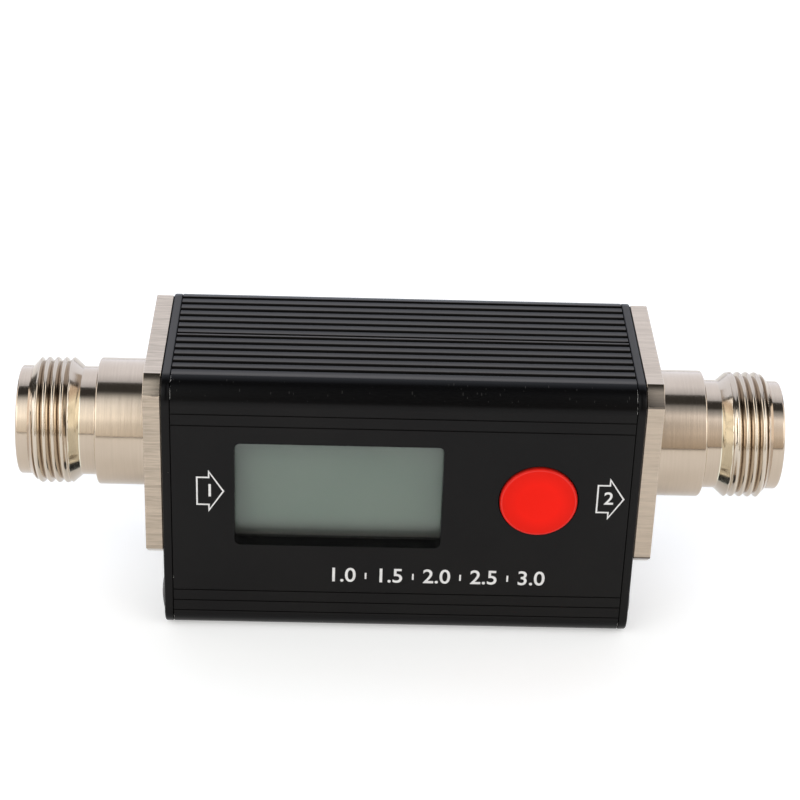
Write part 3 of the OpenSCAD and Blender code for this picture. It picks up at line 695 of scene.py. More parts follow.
def makeBlackAnodised():
    look = {
        "paintedShadeTone": (0.0028, 0.0027, 0.0029), "cornerFade": 1.0, "windowLip": 0.1,
        "topLightTone": (0.046, 0.042, 0.039), "crestFade": 0.05, "ribShadedBack": (0.006, 0.0055, 0.0052),
        "ribLitFront": (0.07, 0.064, 0.06), "litFrom": 0.25, "litTo": 0.8,
        "dustPerMetre": 3600, "dustSize": 0.2, "dustShare": 0.5, "dustStretch": (1, 0.25, 0.25),
        "dustTone": (0.024, 0.023, 0.022), "dustRoughness": 0.7, "chipReach": 0.1, "chipsPerMetre": 9000,
        "chipShare": 0.24, "cornerChips": 0.32, "bareMetal": (0.5, 0.49, 0.47), "chipRoughness": 0.45,
    }
    material = makeFinish("blackAnodised", (0.0082, 0.0077, 0.0078), (0.0104, 0.0098, 0.0095), patches=60,
                          roughness=0.22, spread=0.05, texture=5200, stretch=(0.25, 1, 1), strength=0.2,
                          specks={"perMetre": 420, "size": 0.05, "share": 0.13, "colour": (0.3, 0.29, 0.28)},
                          Specular_IOR_Level=0.1)
    tree = material.node_tree
    where = objectSpot(tree)
    x, y, z = objectAxes(tree)
    halfHeight = caseHeight / 2
    level = abs(z - halfHeight)

    def pastCentre(value, half):
        # 0 on the flat, 1 on the round of an edge
        start = half - shell["cornerRadius"]
        return value.ramp(start, start + look["cornerFade"])

    corner = pastCentre(abs(y), -caseFront) * pastCentre(level, halfHeight)
    # painted shade: the round edges of the case are darker
    overlay(material, corner, Base_Color=look["paintedShadeTone"])
    # painted light: each rib is paler towards its front edge and darker towards its back, and the tops of the
    # end plates are paler
    firstGroove = mix(tree, "FLOAT", y < shell["jointOffset"], -lowGroove, topGroove)
    share = calc(tree, "FRACT", (y - firstGroove) / shell["groovePitch"])
    paintedHighlight = share.ramp(look["litFrom"], look["litTo"], 1.0, 0.0)
    ribLightAndShade = mix(tree, "RGBA", paintedHighlight, look["ribShadedBack"], look["ribLitFront"])
    topLightTone = mix(tree, "RGBA", abs(x) < shellHalf, look["topLightTone"], ribLightAndShade)
    overlay(material, level.ramp(halfHeight - look["crestFade"], halfHeight), Base_Color=topLightTone)
    # the window's walls lie in shade
    halfWall = shell["wall"] / 2
    inWindow = abs(y - (caseFront + halfWall + look["windowLip"])) < halfWall
    for value, low, high in ((x, lensLow.x, lensHigh.x), (z, lensLow.z, lensHigh.z)):
        reach = (high - low) / 2 - shell["windowMargin"] + look["windowLip"]
        inWindow = inWindow * (abs(value - (low + high) / 2) < reach)
    overlay(material, inWindow, Base_Color=look["paintedShadeTone"])
    # dust on the round edges, and chips at the seams of the end plates
    specks = useGroup(tree, dust, Vector=stretched(where, look["dustStretch"]), Scale=look["dustPerMetre"],
                      Size=look["dustSize"], Share=look["dustShare"])
    overlay(material, specks * corner, Base_Color=look["dustTone"], Roughness=look["dustRoughness"])
    chips = useGroup(tree, wear, Vector=where, Distance=abs(abs(x) - shellHalf), Reach=look["chipReach"],
                     Scale=look["chipsPerMetre"], Share=corner * look["cornerChips"] + look["chipShare"])
    overlay(material, chips, Base_Color=look["bareMetal"], Roughness=look["chipRoughness"])
    return material


def recess(first, surface, floor):
    # the ribbed stretch of the top or bottom, without its ribs, from the joint towards the front
    start = first + shell["grooveWidth"] / 2
    end = first - (shell["grooveCount"] - 1) * shell["groovePitch"] - shell["grooveWidth"] / 2
    return [(start, surface, shell["landRadius"] / 2), (start, floor, 0), (end, floor, 0),
            (end, surface, shell["landRadius"])]


def fineLine(z):
    half, deep = shell["lineWidth"] / 2, caseFront + shell["lineDepth"]
    return [(caseFront, z + half, shell["lineRadius"]), (deep, z + half, 0),
            (deep, z - half, 0), (caseFront, z - half, shell["lineRadius"])]


def boardRails(surface, step):
    # the two rails on an inner wall, from the joint towards the front
    corners = []
    for edge in (boardHigh.y + shell["railGap"], boardLow.y - shell["railGap"] - shell["railWidth"]):
        far = edge + shell["railWidth"]
        corners += [(far, surface, 0), (far, surface + step, 0),
                    (edge, surface + step, 0), (edge, surface, 0)]
    return corners


def bossArc(z, direction):
    # round a screw boss, from the floor or roof to the inside of the front
    radius, wallY = shell["bossRadius"], caseFront + shell["wall"]
    first = -math.degrees(math.asin((lowerScrewZ - shell["wall"]) / radius))
    last = 180 - math.degrees(math.acos((-screwY - wallY) / radius))
    return [(y, z + direction * rise, 0)
            for y, rise in arc((-screwY, 0), radius, first, last, shell["bossSteps"])]


def shellSection():
    height, wall, offset = caseHeight, shell["wall"], shell["jointOffset"]
    lapZ = wall - shell["lapThickness"]
    lip = offset + shell["lapWidth"]
    high = [height - shell["highLine"] - i * shell["linePitch"] for i in range(shell["highLines"])]
    low = [shell["lowLine"] + i * shell["linePitch"] for i in reversed(range(shell["lowLines"]))]
    edge, rebate = offset - shell["jointGap"], height - shell["jointDepth"]
    corners = [(offset, rebate, 0), (edge, rebate, 0), (edge, height, shell["jointRadius"])]
    corners += recess(topGroove, height, height - shell["grooveDepth"])
    corners.append((caseFront, height, shell["cornerRadius"]))
    for z in high + low:
        corners += fineLine(z)
    corners.append((caseFront, 0, shell["cornerRadius"]))
    corners += reversed(recess(lowGroove, 0, shell["grooveDepth"]))
    edge, rebate = -offset - shell["jointGap"], shell["jointDepth"]
    corners += [(edge, 0, shell["jointRadius"]), (edge, rebate, 0), (-offset, rebate, 0)]
    corners += [(-offset, lapZ, 0), (-lip, lapZ, 0), (-lip, wall, 0)]
    corners += boardRails(wall, shell["railHeight"])
    corners += bossArc(lowerScrewZ, 1)
    corners += reversed(bossArc(upperScrewZ, -1))
    corners += reversed(boardRails(height - wall, -shell["railHeight"]))
    corners += [(lip, height - wall, 0), (lip, height - lapZ, 0), (offset, height - lapZ, 0)]
    return softOutline(corners)


def addRibs(piece, firstGroove, surface, direction):
    # the ribs between the grooves, each reaching a little into the shell
    tall = shell["grooveDepth"] + shell["ribRoot"]
    pitch = shell["groovePitch"]
    runTree(piece, ribTree, finishes["black_anodised"], {
        "First rib": (0, firstGroove - pitch / 2, surface - direction * tall / 2), "Rib step": (0, -pitch, 0),
        "Rib height": tall, "Rib width": pitch - shell["grooveWidth"], "Rib length": 2 * shellHalf,
        "Crest radius": shell["crestRadius"]}, {"Rib count": shell["grooveCount"] - 1})


def drill(radius, y, z, low, high):
    # a round cutter along X
    cutter = turnProfile("drill", shell["drillSides"], [(0, low), (radius, low), (radius, high), (0, high)])
    return movePiece(cutter, (0, y, z), quarterTurn, "Y")


def roundedMouth():
    # (outset, distance behind the front) of an opening with a rounded edge, from the outside in
    radius = shell["edgeRadius"]
    return [(radius, -pastFace)] + arc((radius, radius), radius, 270, 180) + [(0, shell["wall"] + pastFace)]


def windowCutter():
    width = lensHigh.x - lensLow.x - 2 * shell["windowMargin"]
    height = lensHigh.z - lensLow.z - 2 * shell["windowMargin"]
    middle = (lensLow.x + lensHigh.x) / 2
    loops = []
    for outset, behind in roundedMouth():
        outline = roundedRect(width + 2 * outset, height + 2 * outset, shell["windowRadius"] + outset)
        loops.append([(middle + u, caseFront + behind, panelLine + v) for u, v in outline])
    return skinLoops("windowCutter", loops)


def buttonCutter():
    radius = buttonRadius + shell["buttonGap"]
    mouth = roundedMouth()
    wall = [(radius + outset, behind) for outset, behind in mouth]
    profile = [(0, mouth[0][1])] + wall + [(0, mouth[-1][1])]
    cutter = turnProfile("buttonCutter", shell["buttonSides"], profile)
    return movePiece(cutter, (buttonMiddle, caseFront, panelLine), -quarterTurn, "X")


finishes["black_anodised"] = makeBlackAnodised()
section = shellSection()
frontShell = skinLoops("frontShell", [[(x, y, z) for y, z in section] for x in (-shellHalf, shellHalf)])
addRibs(frontShell, topGroove, caseHeight, 1)
addRibs(frontShell, lowGroove, 0, -1)
channelEnd = shellHalf + pastFace
combine(frontShell, [drill(shell["channelRadius"], -screwY, z, -channelEnd, channelEnd)
                     for z in (lowerScrewZ, upperScrewZ)])
turnOver = Matrix.Translation((0, 0, caseHeight * mm)) @ Matrix.Rotation(math.pi, 4, "X")
rearShell = copyPiece(frontShell, "rearShell", turnOver)
combine(frontShell, [windowCutter(), buttonCutter()])
standFor(smoothPiece(frontShell), "front_shell")
standFor(smoothPiece(rearShell), "rear_shell")
print("shells:", len(frontShell.data.polygons), "and", len(rearShell.data.polygons), "faces")


# End plates

plate = {"edgeInset": 0.4, "edgeWidth": 0.27, "boreRadius": 3.65, "passingRadius": 1.65}


def makeEndPlate():
    depth, height = plateHigh.y - plateLow.y, plateHigh.z - plateLow.z
    loops = []
    for inset, rise in edgeSteps(plateHigh.x - plateLow.x, plate["edgeInset"], plate["edgeWidth"]):
        outline = roundedRect(depth - 2 * inset, height - 2 * inset, shell["cornerRadius"] - inset)
        loops.append([(plateLow.x + rise, y, height / 2 + z) for y, z in outline])
    piece = skinLoops("outEndPlate", loops)
    low, high = plateLow.x - pastFace, plateHigh.x + pastFace
    drills = [drill(plate["boreRadius"], 0, axisHeight, low, high)]
    for y in (-screwY, screwY):
        drills += [drill(plate["passingRadius"], y, z, low, high)
                   for z in (lowerScrewZ, middleScrewZ, upperScrewZ)]
    return smoothPiece(combine(piece, drills))


outEndPlate = makeEndPlate()
inEndPlate = copyPiece(outEndPlate, "inEndPlate", Matrix.Rotation(math.pi, 4, "Z"))
standFor(outEndPlate, "out_end_plate")
standFor(inEndPlate, "in_end_plate")


# Sockets

socket = {
    "chamferDepth": 2.25, "chamferHeight": 1.85, "flangeThickness": 2.15, "flangeEdge": 0.13, "topRound": 0.1,
    "frontRound": 0.1, "cutBend": 0.36, "cutSpread": 0.14, "bendSteps": 4, "blankStart": 0.4,
    "barrelRadius": 8, "barrelLength": 6.55, "barrelEdge": 0.3, "rootFillet": 0.15, "neckRadius": 6.85,
    "neckLength": 2, "pilotLength": 1.5, "pilotEdge": 0.32, "boreRadius": 4.05, "boreDepth": 9.1,
    "boreEdge": 0.3, "insulatorRadius": 3.45, "shoulderRadius": 4.2, "shoulderLength": 3, "fitGap": 0.05,
    "segments": 120, "countersinkRadius": 2.7, "screwRadius": 1.5, "screwGap": 0.15, "holeSides": 64,
}
thread = {"Pitch": 1.0583, "Crest radius": 7.9375, "Thread depth": 0.58, "Run-out start": 0.95,
          "Run-out end": 1.9, "Blank radius": socket["neckRadius"]}
threadForm = {"Turns": 6, "Phase": 0.35, "Crest rounding": 0.8, "Inner slope": 0.86, "Outer slope": 1.1,
              "Segments": socket["segments"], "Strip steps": 24}
barrelEnd = socket["flangeThickness"] + socket["barrelLength"]
threadStart = barrelEnd + socket["neckLength"]
threadEnd = threadStart + threadForm["Turns"] * thread["Pitch"]
mouthEnd = threadEnd + socket["pilotLength"]
boreFloor = mouthEnd - socket["boreDepth"]


def makeNickel():
    # places along a socket are distances from its end plate
    look = {
        "flange": 2.2, "edgeFrom": 2.0, "threadFrom": 10.6, "coneTo": 11.9, "threadTo": 16.4,
        "ringsPerMetre": 5200, "ringTone": (0.47, 0.385, 0.3), "ringLow": 0.4, "ringHigh": 0.65,
        "ringShare": 0.3, "linesPerMetre": 3600, "lineStretch": (0.05, 1, 1),
        "lineTone": (0.36, 0.3, 0.235), "lineLow": 0.4, "lineHigh": 0.62, "inShare": 0.7, "outShare": 0.4,
        "milledSmooth": 0.26, "milledRough": 0.4,
        "threadTone": (0.62, 0.535, 0.435), "threadShadeTone": (0.42, 0.34, 0.265), "rootFrom": 7.42, "rootTo": 7.6,
        "coneHighlightTone": (0.9, 0.87, 0.72), "topShadeFrom": 5.5, "topShadeTo": 6.3, "topShadeShare": 0.5, "coneHighlightFrom": -3.5,
        "coneHighlightTo": -2.9, "cutNormal": (0.635, 0.773), "cutPlane": 16.25, "cutRoughness": 0.12,
        "cutShade": (0.1, 0.085, 0.072), "shadeFrom": 10.85, "shadeTo": 12.2, "shadeShare": 0.85,
    }
    material = makeFinish("turnedNickel", (0.55, 0.452, 0.355), (0.575, 0.475, 0.375), patches=180,
                          roughness=0.13, spread=0.03, texture=look["ringsPerMetre"], stretch=(1, 0.02, 0.02),
                          depth=0.002, Metallic=1.0)
    tree = material.node_tree
    x, y, z = objectAxes(tree)
    along = abs(x) - socketLow.x
    rise = z - axisHeight
    level = abs(rise)
    # turned rings on the barrel, milled lines on the flange
    onFlange = along < look["flange"]
    onOut = x > 0
    lines = useGroup(tree, grain, Vector=objectSpot(tree), Scale=look["linesPerMetre"],
                     Stretch=look["lineStretch"])
    bumpHeight = next(node for node in tree.nodes if node.type == "BUMP").inputs["Height"]
    rings = Field(tree, bumpHeight.links[0].from_socket)
    turned = (1 - onFlange) * rings.ramp(look["ringLow"], look["ringHigh"], 0.0, look["ringShare"])
    overlay(material, turned, Base_Color=look["ringTone"])
    # the milled lines are stronger on the input flange: real grain, and painted shade that makes that flange
    # darker
    lineShare = mix(tree, "FLOAT", onOut, look["inShare"], look["outShare"])
    milled = onFlange * lines.ramp(look["lineLow"], look["lineHigh"], 0.0, lineShare)
    overlay(material, milled, Base_Color=look["lineTone"])
    feed(tree, mix(tree, "FLOAT", onFlange, rings, lines), bumpHeight)
    overlay(material, onFlange, Roughness=lines.ramp(
        finishLook["grainLow"], finishLook["grainHigh"], look["milledSmooth"], look["milledRough"]))
    # a lighter tone on the whole thread, painted shade in its roots and along its top and bottom, and a
    # painted highlight on the run-out cone between them
    onThread = (along > look["threadFrom"]) * (along < look["threadTo"])
    overlay(material, onThread, Base_Color=look["threadTone"])
    pastCone = onThread * (along > look["coneTo"])
    radius = calc(tree, "SQRT", y * y + level * level)
    # painted shade in the thread roots
    nearRoot = radius.ramp(look["rootFrom"], look["rootTo"], 1.0, 0.0)
    overlay(material, pastCone * nearRoot, Base_Color=look["threadShadeTone"])
    # painted highlight on the middle band of the run-out cone
    coneHighlight = (rise.ramp(look["topShadeFrom"], look["topShadeTo"], 1.0, 0.0)
              * rise.ramp(look["coneHighlightFrom"], look["coneHighlightTo"]))
    overlay(material, (onThread - pastCone) * coneHighlight, Base_Color=look["coneHighlightTone"])
    # painted shade along the thread's top and bottom
    topShade = level.ramp(look["topShadeFrom"], look["topShadeTo"], 0.0, look["topShadeShare"])
    overlay(material, onThread * topShade, Base_Color=look["threadShadeTone"])
    # the flange's cut corners and outer edge are smoother, and the output side's cut corners get painted
    # shade on part of them
    onCut = abs(y) * look["cutNormal"][0] + level * look["cutNormal"][1] > look["cutPlane"]
    smoother = onFlange * calc(tree, "MAXIMUM", onCut, along > look["edgeFrom"])
    overlay(material, smoother, Roughness=look["cutRoughness"])
    # painted shade on the inner part of the output side's cut corners
    shade = level.ramp(look["shadeFrom"], look["shadeTo"], look["shadeShare"], 0.0)
    overlay(material, onFlange * onCut * onOut * shade, Base_Color=look["cutShade"])
    return material


def flangeOutline(inset):
    # U is down and V is back, and the corners are cut a little more in depth than in height
    half = (socketHigh.z - socketLow.z) / 2
    deep, tall = socket["chamferDepth"], socket["chamferHeight"]
    slant = math.hypot(deep, tall)
    shortV = half - deep - inset * (slant - deep) / tall
    shortU = half - tall - inset * (slant - tall) / deep
    half -= inset
    top, foot = Vector((half, shortV)), Vector((shortU, half))
    way = (foot - top).normalized()
    outward = Vector((way.y, -way.x))
    sag = socket["cutSpread"] * abs(way.x)
    quarter = [(half, shortV - socket["cutSpread"], socket["topRound"])]
    # the upper part of the cut bends towards the top
    for k in range(1, socket["bendSteps"] + 1):
        share = k / socket["bendSteps"]
        point = top.lerp(foot, socket["cutBend"] * share) - outward * sag * (1 - share) ** 2
        quarter.append((*point, 0))
    quarter.append((shortU, half, socket["frontRound"]))
    corners = []
    for signU, signV in ((1, 1), (-1, 1), (-1, -1), (1, -1)):
        turned = [(signU * u, signV * v, radius) for u, v, radius in quarter]
        corners += turned if signU == signV else reversed(turned)
    return softOutline(corners)


def makeFlange():
    loops = [[(u, v, rise) for u, v in flangeOutline(inset)]
             for inset, rise in edgeSteps(socket["flangeThickness"], socket["flangeEdge"])]
    return skinLoops("flange", loops)


def makeTurnedBlank():
    # the barrel and neck, then the pilot, with a gap between them for the thread
    barrel, neck, fillet = (socket[key] for key in ("barrelRadius", "neckRadius", "rootFillet"))
    flange, edge, pilot = (socket[key] for key in ("flangeThickness", "barrelEdge", "pilotEdge"))
    inner = [(0, socket["blankStart"]), (barrel + fillet, socket["blankStart"])]
    inner += arc((barrel + fillet, flange + fillet), fillet, 270, 180)
    inner += arc((barrel - edge, barrelEnd - edge), edge, 0, 90)
    inner += arc((neck + fillet, barrelEnd + fillet), fillet, 270, 180)
    inner.append((neck, threadStart))
    outer = [(neck, threadEnd)] + arc((neck - pilot, mouthEnd - pilot), pilot, 0, 90) + [(0, mouthEnd)]
    return turnProfile("blankSocket", socket["segments"], inner, outer)


def boreCutter():
    bore, rim, end = socket["boreRadius"], socket["boreEdge"], mouthEnd + pastFace
    shoulder, hole = socket["shoulderRadius"] + socket["fitGap"], socket["insulatorRadius"] + socket["fitGap"]
    profile = [(0, -pastFace), (shoulder, -pastFace), (shoulder, socket["shoulderLength"]),
               (hole, socket["shoulderLength"]), (hole, boreFloor), (bore, boreFloor)]
    profile += arc((bore + rim, mouthEnd - rim), rim, 180, 90) + [(bore + rim, end), (0, end)]
    return turnProfile("boreCutter", socket["segments"], profile)


def screwHoles():
    hole, depth, gap = socket["screwRadius"], socket["flangeThickness"], socket["fitGap"]
    loose, sink = hole + socket["screwGap"], socket["countersinkRadius"]
    profile = [(0, -pastFace), (loose, -pastFace), (loose, depth - (sink - hole) + 2 * gap),
               (sink + gap, depth), (sink + gap, depth + pastFace), (0, depth + pastFace)]
    return [movePiece(turnProfile("hole", socket["holeSides"], profile), (u, v, 0))
            for u in (-screwY, screwY) for v in (-screwY, screwY)]


def makeSocket():
    piece = makeTurnedBlank()
    runTree(piece, threadTree, finishes["nickel"], {"Start": threadStart, **thread}, threadForm)
    faceOutwards(piece.data)
    combine(piece, [makeFlange()], "UNION")
    combine(piece, [boreCutter()] + screwHoles())
    return smoothPiece(piece)


finishes["nickel"] = makeNickel()
blankSocket = makeSocket()
print("sockets:", len(blankSocket.data.polygons), "faces each")
setOnEnds(blankSocket, "Socket", "connector_shell")


# Insulators and contacts

insulatorLow, _ = nodeBox("out_insulator")
contactLow, contactHigh = nodeBox("out_contact")
contact = {"radius": 1.525, "boreRadius": 0.83, "boreDepth": 4, "slot": 0.3, "slotReach": 3, "slotRise": 0.1,
           "edge": 0.15, "edgeSteps": 3, "tailRadius": 0.65, "fitGap": 0.05, "segments": 72,
           "reach": plateFace - insulatorLow.x}


def makeInsulator():
    radius, hole, edge = socket["insulatorRadius"], contact["radius"] + contact["fitGap"], contact["edge"]
    profile = [(hole, -contact["reach"]), (radius, -contact["reach"]), (radius, 0),
               (socket["shoulderRadius"], 0), (socket["shoulderRadius"], socket["shoulderLength"]),
               (radius, socket["shoulderLength"])]
    profile += arc((radius - edge, boreFloor - edge), edge, 0, 90, contact["edgeSteps"]) + [(hole, boreFloor)]
    return smoothPiece(turnProfile("insulator", contact["segments"], profile, closed=True))


def makeContact():
    radius, edge, bore, tail = (contact[key] for key in ("radius", "edge", "boreRadius", "tailRadius"))
    tip, tailEnd = contactHigh.x - plateFace, contactLow.x - plateFace
    floor = tip - contact["boreDepth"]
    profile = [(0, tailEnd), (tail, tailEnd), (tail, -contact["reach"]), (radius, -contact["reach"])]
    profile += arc((radius - edge, tip - edge), edge, 0, 90, contact["edgeSteps"])
    profile += [(bore + edge / 2, tip), (bore, tip - edge / 2), (bore, floor), (0, floor)]
    slits = []
    for angle in (0, quarterTurn):
        outline = [(u * contact["slotReach"], v * contact["slot"] / 2) for u, v in squareCorners]
        slit = skinLoops("slit", [[(u, v, level) for u, v in outline]
                                  for level in (floor + contact["slotRise"], tip + pastFace)])
        slits.append(movePiece(slit, (0, 0, 0), angle))
    return smoothPiece(combine(turnProfile("contact", contact["segments"], profile), slits))


setOnEnds(makeInsulator(), "Insulator", "insulator")
setOnEnds(makeContact(), "Contact", "contact")


# Screws

flangeScrew = {"Head radius": 2.7, "Under radius": 1.5, "Head height": 1.2, "Crown radius": 30,
               "Shank radius": 1.5, "Recess length": 2.4, "Recess width": 0.52, "Recess depth": 0.9}
plateScrew = {"Head radius": 2.5, "Under radius": 2.5, "Head height": 0.5, "Crown radius": 9,
              "Shank radius": 1.5, "Recess length": 2.4, "Recess width": 0.52, "Recess depth": 0.38}
screwRows = {
    "upper": {"sizes": flangeScrew, "height": upperScrewZ, "length": 8, "seed": 3, "slot": "nickel"},
    "middle": {"sizes": flangeScrew, "height": middleScrewZ, "length": 3.35, "seed": 4, "slot": "nickel"},
    "lower": {"sizes": plateScrew, "height": lowerScrewZ, "length": 8.5, "seed": 5, "slot": "black_screw"},
}
headFace = {"nickel": plateFace + socket["flangeThickness"],
            "black_screw": plateFace + plateScrew["Head height"]}


def makeScrews(name, side, row):
    face = side * headFace[row["slot"]]
    mesh = bpy.data.meshes.new(name)
    mesh.from_pydata([Vector((face, y, row["height"])) * mm for y in (-screwY, screwY)], [], [])
    lengths = {**row["sizes"], "Whole length": row["length"]}
    numbers = {"Facing": (0, side * quarterTurn, 0), "Seed": row["seed"]}
    return smoothPiece(runTree(addPiece(name, mesh), screwTree, finishes[row["slot"]], lengths, numbers))


for end, side in sides.items():
    pairs = [makeScrews(name, side, screwRows[name]) for name in ("upper", "middle")]
    standFor(joinPieces(end + "FlangeScrews", pairs), end + "_flange_screws")
    standFor(makeScrews(end + "PlateScrews", side, screwRows["lower"]), end + "_plate_screws")
print("screws: 4 per flange, 2 per plate")


# Display

displayLayers = {  # name, bevel and corner radius
    "lcd_window": ("displayCover", 0.12, 0.3), "front_polarizer": ("frontFilm", 0.03, 0.1),
    "lcd_front_glass": ("frontGlass", 0.06, 0.1), "lcd_rear_glass": ("rearGlass", 0.06, 0.1),
    "lcd_reflector": ("rearFilm", 0.03, 0.1),
}
layerGap = 0.012  # keeps the faces of two layers apart


def makeClearCover():
    # clear sheet that lets the lamps through to what lies behind it
    material = makeFinish("clearCover", (0.93, 0.95, 0.94), (0.96, 0.97, 0.96), roughness=0.16, spread=0.02,
                          texture=900, depth=0.001, strength=0.05, Transmission_Weight=1.0, IOR=1.49)
    tree = material.node_tree
    clear = addNode(tree, "ShaderNodeBsdfTransparent")
    choice = addNode(tree, "ShaderNodeMixShader")
    shadow = addNode(tree, "ShaderNodeLightPath").outputs["Is Shadow Ray"]
    for source, target in zip((shadow, shaderOf(material).outputs[0], clear.outputs[0]), choice.inputs):
        tree.links.new(source, target)
    tree.links.new(choice.outputs[0], tree.nodes["Material Output"].inputs["Surface"])
    return material


def makePolarizer():
    # grey-green film, darker towards its lower edge as painted shade under the window's lower wall
    look = {"lowerShade": (0.064, 0.065, 0.06), "full": 1.25, "fade": 2.5}
    material = makeFinish("polarizerFilm", (0.1065, 0.148, 0.116), (0.114, 0.157, 0.124), patches=40,
                          roughness=0.38, spread=0.04, texture=7000, depth=0.001, strength=0.1)
    _, _, z = objectAxes(material.node_tree)
    bottom = lensLow.z + look["full"]
    # painted shade: the film darkens towards its lower edge
    overlay(material, z.ramp(bottom, bottom + look["fade"], 1.0, 0.0), Base_Color=look["lowerShade"])
    return material


def makeDisplayGlass():
    # tinted glass, dark above and below the film
    border = {"tone": (0.056, 0.056, 0.052), "overlap": 0.06}
    material = makeFinish("displayGlass", (0.6, 0.66, 0.62), (0.66, 0.71, 0.67), roughness=0.08, spread=0.03,
                          Transmission_Weight=0.6)
    _, _, z = objectAxes(material.node_tree)
    filmLow, filmHigh = nodeBox("front_polarizer")
    middle = (filmLow.z + filmHigh.z) / 2
    overlay(material, abs(z - middle) > filmHigh.z - middle - border["overlap"], Base_Color=border["tone"])
    return material


def makeLayer(node, name, bevel, corner):
    low, high = nodeBox(node)
    middle = (low + high) / 2
    front = low.y + layerGap
    loops = []
    for inset, rise in edgeSteps(high.y - layerGap - front, bevel):
        outline = roundedRect(high.x - low.x - 2 * inset, high.z - low.z - 2 * inset, corner + bevel - inset)
        loops.append([(middle.x + u, front + rise, middle.z + v) for u, v in outline])
    return smoothPiece(skinLoops(name, loops))


finishes["clear_cover"] = makeClearCover()
finishes["polarizer"] = makePolarizer()
finishes["display_glass"] = makeDisplayGlass()
for node, (name, bevel, corner) in displayLayers.items():
    standFor(makeLayer(node, name, bevel, corner), node)


# Button

button = {"edgeRadius": 0.32, "dome": 0.06, "domeSteps": 8, "footRadius": 2.2, "rimGap": 0.1,
          "rimThickness": 0.8}


def makeRedPlastic():
    # satin red cap with painted shade towards its rim, a painted highlight line round the edge and a painted
    # shade ring at the rim
    look = {"shade": (0.66, 0.012, 0.006), "shadeReach": 2.2, "shadeShare": 0.6,
            "paintedHighlight": (0.8, 0.045, 0.037), "highlightFrom": 0.3, "highlightTo": 0.18, "highlightFade": 0.04,
            "rim": (0.34, 0.01, 0.006), "rimFrom": 0.13, "rimTo": 0.0}
    material = makeFinish("redPlastic", (0.91, 0.012, 0.004), (0.96, 0.013, 0.005), patches=90,
                          roughness=0.34, spread=0.05, texture=3800, strength=0.2, Specular_IOR_Level=0.1,
                          specks={"perMetre": 500, "size": 0.06, "share": 0.1, "colour": (0.9, 0.3, 0.25)})
    tree = material.node_tree
    x, _, z = objectAxes(tree)
    across, level = x - buttonMiddle, z - panelLine
    radius = calc(tree, "SQRT", across * across + level * level)

    def towardsRim(start, end, top=1.0):
        return radius.ramp(buttonRadius - start, buttonRadius - end, 0.0, top)

    # painted shade towards the rim
    shaded = towardsRim(look["shadeReach"], look["highlightTo"], look["shadeShare"])
    overlay(material, shaded, Base_Color=look["shade"])
    # painted highlight line round the edge
    paintedHighlight = (towardsRim(look["highlightFrom"] + look["highlightFade"], look["highlightFrom"])
              - towardsRim(look["highlightTo"] + look["highlightFade"], look["highlightTo"]))
    overlay(material, paintedHighlight, Base_Color=look["paintedHighlight"])
    # painted shade ring at the very rim
    overlay(material, towardsRim(look["rimFrom"], look["rimTo"]), Base_Color=look["rim"])
    return material


def makeButton():
    front, back, edge, foot = capLow.y, capHigh.y, button["edgeRadius"], button["footRadius"]
    rimFront = caseFront + shell["wall"] + button["rimGap"]
    rimBack = rimFront + button["rimThickness"]
    rimRadius = buttonRadius + shell["buttonRim"]
    flat = buttonRadius - edge
    shares = [k / button["domeSteps"] for k in range(button["domeSteps"] + 1)]
    profile = [(flat * share, front + button["dome"] * share ** 2) for share in shares]
    profile += arc((flat, front + button["dome"] + edge), edge, -90, 0)[1:]
    profile += [(buttonRadius, rimFront), (rimRadius, rimFront), (rimRadius, rimBack), (foot, rimBack),
                (foot, back), (0, back)]
    piece = turnProfile("buttonCap", shell["buttonSides"], profile)
    return smoothPiece(movePiece(piece, (buttonMiddle, 0, panelLine), -quarterTurn, "X"))


finishes["red_plastic"] = makeRedPlastic()
standFor(makeButton(), "button_cap", "button")
print("display and button made")


# Print on the front

ink = {"thickness": 0.014, "sink": 0.01, "stroke": 0.2, "leastMitre": 0.4, "swell": 0.03,
       "arrowX": {"in": -24.9, "out": 24.06}, "arrowZ": 20.69, "tail": 1.45, "head": 1.77, "tailHalf": 1.93,
       "headHalf": 2.76, "marks": {"in": ("1", -23.35), "out": ("2", 25.45)}, "markSize": 2.5,
       "scaleZ": 8.7, "scaleSize": 2.9, "scaleFrom": -7.0, "scaleStep": 5.9,
       "scaleWords": ("1.0", "1.5", "2.0", "2.5", "3.0"), "tickWidth": 0.22, "tickHeight": 0.9}
inkDepth = caseFront + (ink["sink"] - ink["thickness"]) / 2
inkHeight = ink["thickness"] + ink["sink"]
whiteInk = makeFinish("whiteInk", (0.72, 0.71, 0.7), (0.82, 0.81, 0.8), patches=900, roughness=0.6,
                      texture=5000, depth=0.003)


def strokeLoop(name, corners, width):
    # a closed line of even width round the corners
    count = len(corners)
    inner, outer = [], []
    for i, corner in enumerate(corners):
        here = Vector(corner)
        back = (here - Vector(corners[i - 1])).normalized()
        ahead = (Vector(corners[(i + 1) % count]) - here).normalized()
        normal = Vector((-(back + ahead).y, (back + ahead).x)).normalized()
        reach = width / 2 / max(normal.dot(Vector((-back.y, back.x))), ink["leastMitre"])
        inner.append(here + normal * reach)
        outer.append(here - normal * reach)
    levels = (caseFront + ink["sink"], caseFront - ink["thickness"])
    points = [(u, y, v) for y in levels for u, v in inner + outer]
    faces = []
    for i in range(count):
        j = (i + 1) % count
        ring = [i, j, count + j, count + i]
        faces += [ring, [2 * count + k for k in ring]]
        faces += [[i, j, 2 * count + j, 2 * count + i], [count + i, count + j, 3 * count + j, 3 * count + i]]
    return makePiece(name, points, faces)


